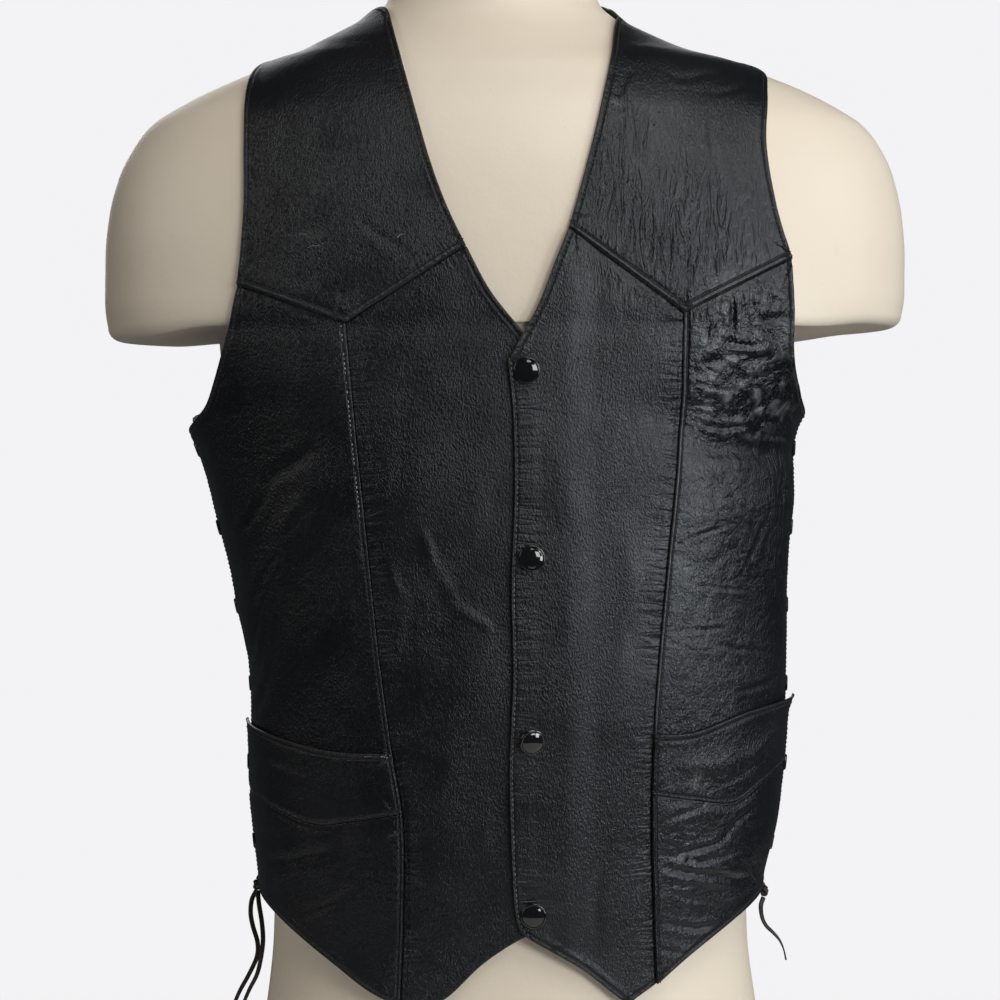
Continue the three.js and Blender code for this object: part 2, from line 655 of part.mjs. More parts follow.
// The held lace, under the side edges: from the knot up one way, across the top and down the other
function lacingPoints(side, knot) {
  const points = [];
  const under = (k, face) => {
    points.push(leatherPoint(eyeletPlace(side, face, k), lace.underEdge).toArray());
  };
  const cross = (level, offset) => {
    points.push(leatherPoint(sideAt(side, 1, level), offset).toArray());
  };
  const [x, y, z] = knot;
  const intoKnot = (apart) => {
    const above = leatherPoint(sideAt(side, y + apart, z + lace.gapHeight), lace.underEdge);
    return [[x, y + apart, z + knotRadius + lace.knotGap], above.toArray()];
  };
  const bottom = eyeletCount - 1;
  const faces = ['front', 'back'];
  points.push(...intoKnot(-lace.apart));
  for (let k = bottom; k >= 0; k--) {
    under(k, faces[(bottom - k) % 2]);
    if (k > 0) cross(eyeletLevel(k) + eyeletStep / 2, lace.lowCrossing);
  }
  cross(eyeletTop + 2, lace.underEdge);
  for (let k = 0; k <= bottom; k++) {
    under(k, faces[(bottom - k + 1) % 2]);
    if (k < bottom) cross(eyeletLevel(k) - eyeletStep / 2, lace.highCrossing);
  }
  points.push(...intoKnot(lace.apart).reverse());
  return points;
}

// Free ends of the laces, from the knot down
const laceEnds = {
  lace_end_right_outer: [[-156.4, 0.7, 207.9], [-159.4, 0.8, 202], [-160, -1, 194], [-158.5, -2, 186],
    [-155.5, -3, 176], [-156, -3, 167], [-161, -3, 156], [-167, -4, 145], [-172, -4, 132],
    [-175, -4, 119], [-176, -4, 106]],
  lace_end_right_inner: [[-155.4, -2.7, 207.9], [-154, -10, 201], [-151.5, -18, 191], [-150.5, -21, 181],
    [-151.5, -22, 171], [-154, -22, 160], [-159, -21, 150], [-163.5, -20, 139], [-167, -19, 127],
    [-168.5, -18, 115]],
  lace_end_left_tail: [[157.8, -2, 203.8], [156, -4.5, 199], [156.2, -9, 193], [158.4, -11, 188],
    [162.4, -12, 184], [166.4, -12.5, 179.5], [169, -13, 174], [170.6, -13, 167]],
};

const knots = { right: [-156, -1, 212], left: [158.4, -1.4, 208] };

// Finishes
const finish = {
  leather: new THREE.MeshStandardMaterial({ color: 0x1a1b1e, roughness: 0.5, metalness: 0 }),
  plastic: new THREE.MeshStandardMaterial({ color: 0xd9cfc1, roughness: 0.6, metalness: 0 }),
  snap: new THREE.MeshStandardMaterial({ color: 0x0b0b0c, roughness: 0.15, metalness: 0.2 }),
  eyelet: new THREE.MeshStandardMaterial({ color: 0x2b2b2e, roughness: 0.35, metalness: 0.8 }),
  thong: new THREE.MeshStandardMaterial({ color: 0x161514, roughness: 0.6, metalness: 0 }),
};

const object = new THREE.Group();

function add(name, geometry, material) {
  const mesh = new THREE.Mesh(geometry, material);
  mesh.name = name;
  object.add(mesh);
}

add('dress_form', formGeometry(), finish.plastic);
add('back_panel', leatherWall(backGrid(), restGap), finish.leather);

for (const name of ['right', 'left']) {
  const side = name === 'right' ? -1 : 1;
  const raise = name === 'left' ? overlapRaise : undefined;
  const [upper, band, skirt] = sideGrids(name);
  add(`front_yoke_${name}`, leatherWall(yokeGrid(name), restGap), finish.leather);
  add(`front_centre_${name}`, leatherWall(centreGrid(name), restGap, raise), finish.leather);
  add(`front_side_${name}`, leatherWall(stacked(upper, band, skirt), restGap), finish.leather);
  add(`pocket_band_${name}`, leatherWall(band, overlapFace), finish.leather);
  add(`pocket_panel_${name}`, leatherWall(skirt, overlapFace), finish.leather);
  for (const face of ['front', 'back']) {
    for (let k = 0; k < eyeletCount; k++) {
      add(`eyelet_${face}_${name}_${k + 1}`, eyeletGeometry(side, face, k), finish.eyelet);
    }
  }
  const held = lacingPoints(side, knots[name]);
  add(`side_lacing_${name}`, laceGeometry(held, lace.heldSides, held.length * 2), finish.thong);
  add(`lace_knot_${name}`, knotGeometry(knots[name]), finish.thong);
}

const snapPlaces = [frontAt(10, 524), frontAt(13, 417), frontAt(13, 312), frontAt(14, 211)];
snapPlaces.forEach((place, k) => add(`snap_${k + 1}`, snapGeometry(place), finish.snap));

for (const [name, points] of Object.entries(laceEnds)) {
  add(name, laceGeometry(points, lace.freeSides, 2 * points.length), finish.thong);
}

export default object;
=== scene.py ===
import json
import math

import bpy
import numpy as np
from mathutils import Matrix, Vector
from mathutils.kdtree import KDTree

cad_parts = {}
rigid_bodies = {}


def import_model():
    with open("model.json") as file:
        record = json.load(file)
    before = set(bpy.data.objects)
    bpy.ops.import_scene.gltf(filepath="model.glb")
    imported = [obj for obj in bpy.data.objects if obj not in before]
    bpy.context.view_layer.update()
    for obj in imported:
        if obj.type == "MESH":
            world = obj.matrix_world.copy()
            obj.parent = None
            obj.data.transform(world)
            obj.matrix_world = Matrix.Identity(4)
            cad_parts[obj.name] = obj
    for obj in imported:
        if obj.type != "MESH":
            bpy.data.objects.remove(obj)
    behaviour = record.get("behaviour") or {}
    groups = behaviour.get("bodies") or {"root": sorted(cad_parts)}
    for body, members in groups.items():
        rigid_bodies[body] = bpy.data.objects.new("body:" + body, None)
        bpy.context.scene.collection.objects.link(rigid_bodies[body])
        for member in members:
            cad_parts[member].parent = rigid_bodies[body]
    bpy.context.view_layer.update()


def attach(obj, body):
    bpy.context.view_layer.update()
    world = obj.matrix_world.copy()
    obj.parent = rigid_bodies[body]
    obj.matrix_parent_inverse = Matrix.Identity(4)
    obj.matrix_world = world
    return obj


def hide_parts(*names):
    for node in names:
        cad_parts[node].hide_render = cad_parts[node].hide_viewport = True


# A side-laced leather vest with four snaps on a torso form. Sizes below are in millimetres in the
# frame of the CAD: +Z up, the wearer's front towards -Y, the wearer's left towards +X.

for leftover in list(bpy.data.objects):
    bpy.data.objects.remove(leftover)
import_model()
scene = bpy.context.scene
mm = 0.001

# Camera

cameraSettings = {"place": (-0.0054, -1.6, 0.45), "lens": 92.84, "sensor": 36.0}
cameraData = bpy.data.cameras.new("camera")
cameraData.lens = cameraSettings["lens"]
cameraData.sensor_width = cameraSettings["sensor"]
camera = bpy.data.objects.new("camera", cameraData)
camera.location = cameraSettings["place"]
camera.rotation_euler = (math.radians(90), 0, 0)
scene.collection.objects.link(camera)
scene.camera = camera


# Shader helpers

class Wire:
    # one socket, so that sums and products of values can be written as they are read
    def __init__(self, sheet, socket):
        self.sheet = sheet
        self.socket = socket

    def combine(self, operation, first, second):
        return self.sheet.node("ShaderNodeMath", {"operation": operation}, {0: first, 1: second})

    def __add__(self, other):
        return self.combine("ADD", self, other)

    def __radd__(self, other):
        return self.combine("ADD", other, self)

    def __sub__(self, other):
        return self.combine("SUBTRACT", self, other)

    def __rsub__(self, other):
        return self.combine("SUBTRACT", other, self)

    def __mul__(self, other):
        return self.combine("MULTIPLY", self, other)

    def __rmul__(self, other):
        return self.combine("MULTIPLY", other, self)

    def __pow__(self, other):
        return self.combine("POWER", self, other)

    def __abs__(self):
        return self.sheet.node("ShaderNodeMath", {"operation": "ABSOLUTE"}, {0: self})


class Finish:
    # a material and its nodes
    def __init__(self, name):
        self.material = bpy.data.materials.new(name)
        self.material.use_nodes = True
        self.tree = self.material.node_tree
        self.tree.nodes.clear()

    def node(self, kind, settings=None, sockets=None, out=0):
        made = self.tree.nodes.new(kind)
        for key, value in (settings or {}).items():
            if key == "stops":
                ramp = made.color_ramp
                while len(ramp.elements) < len(value):
                    ramp.elements.new(0.5)
                for element, (place, colour) in zip(ramp.elements, value):
                    element.position = place
                    element.color = (*colour, 1.0)
            else:
                setattr(made, key, value)
        for key, value in (sockets or {}).items():
            if isinstance(value, Wire):
                self.tree.links.new(value.socket, made.inputs[key])
            else:
                made.inputs[key].default_value = value
        return Wire(self, made.outputs[out])

    def attribute(self, name, out="Fac"):
        return self.node("ShaderNodeAttribute", {"attribute_name": name}, out=out)

    def stretched(self, place, scale):
        return self.node("ShaderNodeMapping", {}, {"Vector": place, "Scale": scale})

    def noise(self, place, scale, detail=2.0, roughness=0.5, distortion=0.0):
        return self.node("ShaderNodeTexNoise", {}, {"Vector": place, "Scale": scale, "Detail": detail,
                         "Roughness": roughness, "Distortion": distortion})

    def cells(self, place, scale, feature, **sockets):
        # flat ones: the leather's own coordinates have no height
        return self.node("ShaderNodeTexVoronoi", {"feature": feature, "voronoi_dimensions": "2D"},
                         {"Vector": place, "Scale": scale, **sockets})

    def between(self, value, low, high, to=(0.0, 1.0)):
        return self.node("ShaderNodeMapRange", {"interpolation_type": "SMOOTHSTEP"},
                         {"Value": value, "From Min": low, "From Max": high,
                          "To Min": to[0], "To Max": to[1]})

    def mixed(self, factor, first, second):
        return self.node("ShaderNodeMix", {"data_type": "RGBA"}, {0: factor, 6: first, 7: second}, out=2)

    def surface(self, **sockets):
        named = {key.replace("_", " "): value for key, value in sockets.items()}
        shader = self.node("ShaderNodeBsdfPrincipled", {}, named, out="BSDF")
        output = self.tree.nodes.new("ShaderNodeOutputMaterial")
        self.tree.links.new(shader.socket, output.inputs["Surface"])
        return self.material

    def bump(self, height, strength=1.0):
        return self.node("ShaderNodeBump", {}, {"Height": height, "Strength": strength, "Distance": 1.0},
                         out="Normal")


# Finishes

leatherSettings = {
    "dark": (0.0024, 0.0025, 0.0034, 1.0),
    "worn": (0.0078, 0.0080, 0.0096, 1.0),
    "rubbed": (0.082, 0.086, 0.090, 1.0),    # wear along rolled seams and turned edges, with a painted highlight on the crests of rolled and piped seams
    "rawEdge": (0.075, 0.052, 0.034, 1.0),
    "scuffed": (0.105, 0.105, 0.110, 1.0),
    "polishAndHighlight": (0.165, 0.180, 0.188, 1.0),  # painted highlight on the tops of the swellings, partly polish where an arm has rubbed
    "grainSize": 800.0,                      # pebbles of the grain in a metre
    "grainDepth": 0.00026,
    "pillow": (108.0, 0.00040),              # swellings in a metre and their height, where it is crumpled
    "pillowFine": (300.0, 0.00014),
    "tiltDepth": 0.0024,
    "uprightDepth": 0.00120,
    "puckerDepth": 0.00075,
    "stitchPitch": 0.0027,
    "stitchDepth": 0.00050,
    "roughness": (0.31, 0.45),
    "tint": (0.90, 0.94, 1.0, 1.0),
}


def leatherFinish(name, settings):
    f = Finish(name)
    place = f.node("ShaderNodeTexCoord", out="Object")
    cloth = f.attribute("cloth", out="Vector")      # along and up the leather, laid flat
    flow = f.attribute("flow", out="Vector")        # from the nearest seam, and along it
    crumple = f.attribute("crumple")
    upright = f.attribute("upright")
    pucker = f.attribute("pucker")
    shine = f.attribute("shine")
    raw = f.attribute("rawEdge")
    rubbedAndSheenHere = f.attribute("rubbed")
    stitchGap = f.attribute("stitchGap")            # from the line of stitches, and along it
    stitchRun = f.attribute("stitchRun")

    def warped(vector, scale, amount):
        drift = f.node("ShaderNodeTexNoise", {}, {"Vector": vector, "Scale": scale, "Detail": 2.0},
                       out="Color")
        centred = f.node("ShaderNodeVectorMath", {"operation": "SUBTRACT"}, {0: drift, 1: (0.5, 0.5, 0.5)})
        return f.node("ShaderNodeVectorMath", {"operation": "MULTIPLY_ADD"},
                      {0: centred, 1: (amount, amount, 0.0), 2: vector})

    def pillows(vector, size, height, softness):
        gap = f.cells(vector, size, "DISTANCE_TO_EDGE")
        return f.between(gap, 0.0, softness) * height

    # fine grain: short pebbles that run up the leather
    size = settings["grainSize"]
    drift = f.noise(place, 60.0, 2.0)
    grained = warped(cloth, 260.0, 0.0022)
    pebble = f.cells(f.stretched(grained, (1.0, 0.60, 1.0)), size, "SMOOTH_F1", Smoothness=0.35)
    veins = f.noise(f.stretched(grained, (1.0, 0.50, 1.0)), size * 1.3, 2.0, 0.6, 0.3)
    deeper = 0.6 + 0.8 * f.between(f.noise(place, 24.0, 2.0), 0.3, 0.7)
    grain = (pebble * 0.43 + f.between(veins, 0.34, 0.66) * 0.6) * deeper * settings["grainDepth"]
    # a net of cracks between glossy swellings
    bent = warped(warped(cloth, 48.0, 0.012), 190.0, 0.0040)
    wide = pillows(f.stretched(bent, (0.85, 1.15, 1.0)), *settings["pillow"], 0.33)
    fine = pillows(bent, *settings["pillowFine"], 0.28)
    slope = f.noise(bent, 92.0, 1.0)
    net = (wide + fine + slope * settings["tiltDepth"]) * crumple
    soft = abs(f.noise(cloth, 170.0, 3.0, 0.55, 0.5) - 0.5) ** 0.8 * (0.00008 + crumple * 0.0003)
    # wrinkles that run up and down
    tall = abs(f.noise(f.stretched(cloth, (1.0, 0.20, 1.0)), 125.0, 2.0, 0.5, 1.2) - 0.5) ** 0.6
    tallFine = abs(f.noise(f.stretched(cloth, (1.0, 0.26, 1.0)), 300.0, 2.0, 0.5, 0.8) - 0.5) ** 0.7
    tallWrinkles = (tall * 1.5 + tallFine * 0.5) * upright * settings["uprightDepth"]
    # puckers drawn in by the stitching
    ripple = abs(f.noise(f.stretched(flow, (0.15, 1.0, 1.0)), 215.0, 1.5, 0.5, 0.4) - 0.5) ** 0.8
    ripples = ripple * pucker * settings["puckerDepth"] * 2.0
    # the line of stitches: a groove with a pit at each end of a stitch, sunk in the height and darkened below
    # with painted shade
    beside = 1 - f.between(abs(stitchGap), 0.0002, 0.0011)
    beat = f.node("ShaderNodeMath", {"operation": "SINE"},
                  {0: stitchRun * (2 * math.pi / settings["stitchPitch"])})
    pits = f.between(beat, 0.3, 1.0) * (1 - f.between(abs(stitchGap), 0.0001, 0.0006))
    sunk = (beside * 0.6 + pits * 0.7) * settings["stitchDepth"]
    height = grain + net + soft + tallWrinkles + ripples - sunk
    # colour: pale dust and a painted highlight where it is rubbed, a painted highlight on shiny swellings,
    # brown where the edge is raw, painted shade along the stitching
    patchy = f.between(f.noise(place, 14.0, 4.0, 0.6), 0.35, 0.75)
    flecks = f.between(f.noise(place, 330.0, 3.0, 0.7), 0.52, 0.8)
    colour = f.mixed(patchy * 0.5 + flecks * (0.2 + shine * 0.2), settings["dark"], settings["worn"])
    # painted highlight: a pale polish colour on the tops of the swellings where the leather shines stands in
    # for their highlights, partly real polish
    top = f.between(slope, 0.45, 0.66) * (0.35 + wide * (0.5 / settings["pillow"][1]))
    streaks = f.between(f.noise(f.stretched(bent, (1.0, 0.6, 1.0)), 360.0, 3.0, 0.6), 0.3, 0.7)
    colour = f.mixed(f.between(shine, 0.75, 1.6) * top * (0.3 + 0.7 * streaks), colour, settings["polishAndHighlight"])
    colour = f.mixed(rubbedAndSheenHere * (0.35 + flecks * 0.65), colour, settings["rubbed"])
    colour = f.mixed(f.attribute("scuff") * f.between(f.noise(cloth, 700.0, 3.0, 0.7), 0.40, 0.62), colour,
                     settings["scuffed"])
    colour = f.mixed(raw * (0.4 + flecks * 0.6), colour, settings["rawEdge"])
    # painted shade in the stitch groove and the stitch pits
    colour = f.mixed(beside * 0.5 + pits * 0.5, colour, settings["dark"])
    low, high = settings["roughness"]
    rough = low + (high - low) * (patchy * 0.5 + drift * 0.5) - shine * 0.11 + raw * 0.3 + beside * 0.2
    return f.surface(Base_Color=colour, Roughness=rough, Normal=f.bump(height),
                     Specular_IOR_Level=0.46, Specular_Tint=settings["tint"])


leather = leatherFinish("black_leather", leatherSettings)


def formFinish():
    f = Finish("form_skin")
    place = f.node("ShaderNodeTexCoord", out="Object")
    broad = f.between(f.noise(place, 5.0, 3.0), 0.3, 0.7)
    scuffs = f.between(f.noise(f.stretched(place, (1.0, 1.0, 0.5)), 46.0, 5.0, 0.65), 0.66, 0.8)
    specks = f.between(f.noise(place, 420.0, 2.0), 0.74, 0.8)
    colour = f.mixed(broad, (0.73, 0.64, 0.52, 1.0), (0.78, 0.69, 0.57, 1.0))
    colour = f.mixed(scuffs * 0.18, colour, (0.46, 0.39, 0.31, 1.0))
    colour = f.mixed(specks * 0.25, colour, (0.35, 0.28, 0.22, 1.0))
    peel = f.noise(place, 620.0, 2.0) * 0.00006 + f.noise(place, 90.0, 3.0) * 0.00018
    return f.surface(Base_Color=colour, Roughness=0.44 + scuffs * 0.2, Normal=f.bump(peel))


def threadFinish(name, dark, pale, roughness=0.6):
    f = Finish(name)
    place = f.node("ShaderNodeTexCoord", out="Object")
    shade = f.between(f.noise(place, 150.0, 3.0), 0.35, 0.7)
    twist = f.node("ShaderNodeTexWave", {"wave_type": "BANDS", "bands_direction": "DIAGONAL"},
                   {"Vector": place, "Scale": 900.0, "Distortion": 1.0}, out="Fac")
    return f.surface(Base_Color=f.mixed(shade, dark, pale), Roughness=roughness + 0.1 * shade,
                     Normal=f.bump(twist * 0.00006))


def thongFinish():
    f = Finish("cut_thong")
    place = f.node("ShaderNodeTexCoord", out="Object")
    fibre = f.noise(f.stretched(place, (1.0, 1.0, 0.2)), 900.0, 3.0, 0.6)
    dry = f.between(f.noise(place, 70.0, 3.0), 0.4, 0.75)
    colour = f.mixed(dry, (0.008, 0.0075, 0.007, 1.0), (0.026, 0.022, 0.019, 1.0))
    return f.surface(Base_Color=colour, Roughness=0.55 + fibre * 0.2, Normal=f.bump(fibre * 0.00012))


def capFinish():
    f = Finish("snap_enamel")
    place = f.node("ShaderNodeTexCoord", out="Object")
    dust = f.between(f.noise(place, 900.0, 3.0, 0.7), 0.56, 0.75)
    scratches = f.between(f.noise(f.stretched(place, (1.0, 1.0, 0.15)), 700.0, 3.0), 0.6, 0.75)
    colour = f.mixed(dust * 0.4, (0.004, 0.004, 0.0045, 1.0), (0.03, 0.03, 0.032, 1.0))
    return f.surface(Base_Color=colour, Roughness=0.07 + dust * 0.10 + scratches * 0.1,
                     Normal=f.bump(f.noise(place, 130.0, 2.0) * 0.0001),
                     Coat_Weight=0.6, Coat_Roughness=0.04)


def eyeletFinish():
    f = Finish("blackened_metal")
    place = f.node("ShaderNodeTexCoord", out="Object")
    rub = f.between(f.noise(place, 380.0, 3.0), 0.5, 0.75)
    colour = f.mixed(rub, (0.015, 0.015, 0.016, 1.0), (0.16, 0.15, 0.14, 1.0))
    return f.surface(Base_Color=colour, Metallic=0.85, Roughness=0.34 + 0.2 * (1 - rub),
                     Normal=f.bump(f.noise(place, 700.0, 2.0) * 0.00005))


formSkin = formFinish()
blackThread = threadFinish("black_thread", (0.006, 0.006, 0.0065, 1.0), (0.030, 0.031, 0.034, 1.0))
paleThread = threadFinish("worn_thread", (0.10, 0.10, 0.10, 1.0), (0.42, 0.41, 0.40, 1.0), 0.75)
greyThread = threadFinish("grey_thread", (0.045, 0.046, 0.050, 1.0), (0.16, 0.165, 0.17, 1.0), 0.6)
dustyThread = threadFinish("old_needle_marks", (0.035, 0.035, 0.037, 1.0), (0.12, 0.12, 0.12, 1.0), 0.8)
# near-black finish for the pin holes: painted shade inside a hole
holeShade = threadFinish("pin_hole_shade", (0.0015, 0.0015, 0.0015, 1.0), (0.003, 0.003, 0.003, 1.0), 0.9)
thong = thongFinish()
snapEnamel = capFinish()
eyeletMetal = eyeletFinish()


def meshPiece(name, points, faces, material, smooth=True, attributes=None, scale=mm):
    mesh = bpy.data.meshes.new(name)
    mesh.from_pydata((np.asarray(points, float) * scale).tolist(), [], faces)
    mesh.polygons.foreach_set("use_smooth", [smooth] * len(mesh.polygons))
    for key, values in (attributes or {}).items():
        kind = "FLOAT_VECTOR" if np.ndim(values) == 2 else "FLOAT"
        made = mesh.attributes.new(key, kind, "POINT")
        made.data.foreach_set("vector" if kind == "FLOAT_VECTOR" else "value",
                              np.asarray(values, np.float32).ravel())
    mesh.materials.append(material)
    piece = bpy.data.objects.new(name, mesh)
    scene.collection.objects.link(piece)
    return piece


def settle(piece, slotName, *nodes):
    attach(piece, "root")
    if nodes:
        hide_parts(*nodes)
    return piece


# Cords: the free ends of the laces

def smoothPath(points, steps):
    # a Catmull-Rom line through the points, cut to equal steps
    p = np.asarray(points, float)
    p = np.vstack([2 * p[0] - p[1], p, 2 * p[-1] - p[-2]])
    t = np.linspace(0, 1, 13)[:-1, None]
    spans = []
    for a, b, c, d in zip(p[:-3], p[1:-2], p[2:-1], p[3:]):
        spans.append(0.5 * (2 * b + (c - a) * t + (2 * a - 5 * b + 4 * c - d) * t ** 2
                            + (3 * b - a - 3 * c + d) * t ** 3))
    line = np.vstack([*spans, p[-2:-1]])
    reach = np.concatenate([[0], np.cumsum(np.linalg.norm(np.diff(line, axis=0), axis=1))])
    at = np.linspace(0, reach[-1], steps + 1)
    return np.stack([np.interp(at, reach, line[:, k]) for k in range(3)], axis=1), reach[-1]


def unit(v):
    return v / np.maximum(np.linalg.norm(v, axis=-1, keepdims=True), 1e-9)


def thongMesh(path, facing, width, thickness, taper=None):
    # a flat lace with rounded edges along a path. facing is the way its broad side looks.
    section = [(-0.5, 0.0), (-0.44, 0.36), (-0.25, 0.5), (0.25, 0.5), (0.44, 0.36), (0.5, 0.0),
               (0.44, -0.36), (0.25, -0.5), (-0.25, -0.5), (-0.44, -0.36)]
    along = unit(np.gradient(path, axis=0))
    facing = facing - along * np.sum(facing * along, axis=1, keepdims=True)
    facing = unit(facing)
    beside = np.cross(along, facing)
    count = len(section)
    grow = np.ones(len(path)) if taper is None else taper
    points = [path + beside * (a * width * grow)[:, None] + facing * (b * thickness * grow)[:, None]
              for a, b in section]
    points = np.stack(points, axis=1).reshape(-1, 3)
    faces = []
    for j in range(len(path) - 1):
        for i in range(count):
            k = (i + 1) % count
            faces.append((j * count + i, (j + 1) * count + i, (j + 1) * count + k, j * count + k))
    faces.append(tuple(range(count)))
    faces.append(tuple((len(path) - 1) * count + i for i in reversed(range(count))))
    return points, faces


cordSettings = {"width": 3.0, "thickness": 1.7, "steps": 60}
laceEnds = {
    "lace_end_right_outer": [(-156.4, 0.7, 207.9), (-159.4, 0.8, 202), (-160, -1, 194), (-158.5, -2, 186),
                             (-155.5, -3, 176), (-156, -3, 167), (-161, -3, 156), (-167, -4, 145),
                             (-172, -4, 132), (-175, -4, 119), (-176, -4, 106)],
    "lace_end_right_inner": [(-155.4, -2.7, 207.9), (-154, -10, 201), (-151.5, -18, 191),
                             (-150.5, -21, 181), (-151.5, -22, 171), (-154, -22, 160), (-159, -21, 150),
                             (-163.5, -20, 139), (-167, -19, 127), (-168.5, -18, 115)],
    "lace_end_left_tail": [(157.8, -2, 203.8), (156, -4.5, 199), (156.2, -9, 193), (158.4, -11, 188),
                           (162.4, -12, 184), (166.4, -12.5, 179.5), (169, -13, 174), (170.6, -13, 167)],
}

for name, points in laceEnds.items():
    path, length = smoothPath(points, cordSettings["steps"])
    turn = np.linspace(0.25, 2.1 if "left" in name else 1.5, len(path))
    facing = np.stack([np.sin(turn), -np.cos(turn), 0.12 * np.sin(turn * 3)], axis=1)
    share = np.linspace(0, 1, len(path))
    taper = np.clip((1 - share) / (0.35 if "left" in name else 0.06), 0.45, 1)
    points, faces = thongMesh(path, facing, cordSettings["width"], cordSettings["thickness"], taper)
    end = meshPiece("thong_" + name[5:], points, faces, thong)
    settle(end, "thong", name)
print("laces: free ends made")


# The torso that the leather hangs on, from tables of sections
# columns: level, shift towards the wearer's left, half width, depth before and behind, squareness

sections = {
    "body": [
        (0, 0, 163, 102, 111, 2.3), (45, 0, 165, 104, 113, 2.3), (95, 1, 159, 104, 111, 2.3),
        (140, 1.5, 151, 104, 106, 2.3), (185, 1, 146, 104.5, 101, 2.3), (240, 1, 145, 106, 96, 2.3),
        (300, 0, 148, 109, 93, 2.3), (360, -0.5, 151.5, 113, 93, 2.35), (420, -2, 162, 117, 97, 2.35),
        (480, -3, 169, 120, 103, 2.35), (520, -3, 173, 121.5, 108, 2.3), (552, -3, 176, 122, 112, 2.25),
    ],
    "caps": [
        (552, -2.5, 240, 122.8, 113.6, 2.15), (560, -2.5, 245, 123, 114.5, 2.15),
        (575, -2.5, 247, 122.5, 115.5, 2.12), (600, -2.3, 247, 120.5, 117, 2.1),
        (625, -2, 245, 117, 117, 2.07), (650, -1.5, 239, 112, 116, 2.03),
        (665, -1, 232, 107.5, 114.5, 2), (680, -1, 221, 102, 112.5, 2), (690, -1, 206, 97, 110.5, 2),
        (700, -1, 187, 91, 108, 2), (710, -2, 163, 85, 105, 2), (716, -5, 145.5, 80, 102, 2),
        (722, -8, 124.5, 75, 98, 2), (728, -9.5, 110, 70, 94, 2), (735, -9.5, 95.5, 64, 89, 2),
        (741, -9.5, 84, 60, 85, 2), (747, -10, 76, 57, 81, 2), (754, -10, 68, 54.5, 77, 2),
        (765, -10, 63, 52, 73, 2), (780, -10, 61.5, 50, 69, 2), (800, -10, 61, 49.5, 67, 2),
        (825, -10, 61, 49.5, 67, 2),
    ],
    "hang": [
        (140, 1.5, 155, 107, 109, 2.35), (185, 1, 153, 107.8, 105.5, 2.35),
        (212, 1.2, 150, 109.8, 104, 2.35), (240, 2, 153.5, 111.5, 102.5, 2.35),
        (270, 4, 158.3, 113.5, 101.5, 2.4), (300, 5.5, 160.3, 115.5, 101, 2.4),
        (330, 6, 161.5, 117.5, 101, 2.4), (360, 4.8, 163.2, 118.8, 101.5, 2.4),
        (400, 0.8, 167.6, 120.6, 103, 2.4), (440, -3.1, 174.2, 122.3, 105, 2.4),
        (470, -5.8, 179, 123.2, 107.5, 2.4), (500, -9.6, 187, 123.6, 110, 2.35),
        (520, -8.4, 205, 123.6, 111.5, 2.3), (540, -4, 231, 123.4, 113, 2.2),
    ],
}

# Large soft folds. columns: on the front, x, level, tilt, length, width, depth
bigFolds = [
    (1, 138, 516, 4, 44, 13, 2.4), (1, 140, 482, -5, 46, 12, -2.2), (1, 136, 446, 8, 40, 14, 1.8),
    (1, 132, 240, 24, 48, 13, 2), (1, -136, 418, 58, 60, 13, 2.6), (1, -128, 356, 66, 52, 12, 2.2),
    (1, -60, 420, 84, 70, 14, 1.4), (1, 92, 712, -24, 30, 12, 0.8), (0, 112, 688, -14, 74, 24, 2.5),
    (0, -122, 686, 14, 64, 22, 1.9), (0, 152, 563, 0, 30, 22, 1.4), (0, -154, 561, 0, 30, 22, 1),
    (1, -154, 561, 0, 26, 20, 0.6), (0, 56, 762, -62, 20, 14, 5), (0, 96, 470, -52, 62, 14, 2.4),
    (0, -102, 452, 50, 66, 14, 2.6), (0, 38, 300, 78, 70, 15, 2), (0, -52, 282, -74, 60, 14, 1.8),
]


class Torso:
    # a smooth surface through a table of sections. Angle 0 is the front middle, 90 degrees the left.
    def __init__(self, rows):
        self.rows = np.array(rows, float)
        level = self.rows[:, :1]
        rise = np.diff(self.rows, axis=0) / np.diff(level, axis=0)
        product = rise[:-1] * rise[1:]
        total = np.where(product > 0, rise[:-1] + rise[1:], 1)
        inner = np.where(product > 0, 2 * product / total, 0)
        self.tangents = np.vstack([rise[:1], inner, rise[-1:]])

    def section(self, level):
        rows = self.rows
        inside = np.clip(level, rows[0, 0], rows[-1, 0])
        i = np.clip(np.searchsorted(rows[:, 0], inside, side="right") - 1, 0, len(rows) - 2)
        span = (rows[i + 1, 0] - rows[i, 0])[..., None]
        t = (inside - rows[i, 0])[..., None] / span
        near = (1 + 2 * t) * (1 - t) ** 2 * rows[i] + t * (1 - t) ** 2 * span * self.tangents[i]
        far = t * t * (3 - 2 * t) * rows[i + 1] - t * t * (1 - t) * span * self.tangents[i + 1]
        return np.moveaxis((near + far)[..., 1:], -1, 0)

    def point(self, angle, level):
        angle, level = np.broadcast_arrays(np.asarray(angle, float), np.asarray(level, float))
        shift, half, front, back, power = self.section(level)
        bend = lambda value: np.sign(value) * np.abs(value) ** (2 / power)
        depth = np.where(np.cos(angle) > 0, front, back)
        return np.stack([shift + half * bend(np.sin(angle)), -depth * bend(np.cos(angle)), level], -1)

    def normal(self, angle, level):
        around = self.point(angle + 0.01, level) - self.point(angle - 0.01, level)
        upward = self.point(angle, level + 0.5) - self.point(angle, level - 0.5)
        return unit(np.cross(around, upward))


body = Torso(sections["body"])
caps = Torso(sections["caps"])
drape = Torso(sections["hang"] + sections["caps"])


def smoothStep(value, low, high):
    t = np.clip((value - low) / (high - low), 0, 1)
    return t * t * (3 - 2 * t)


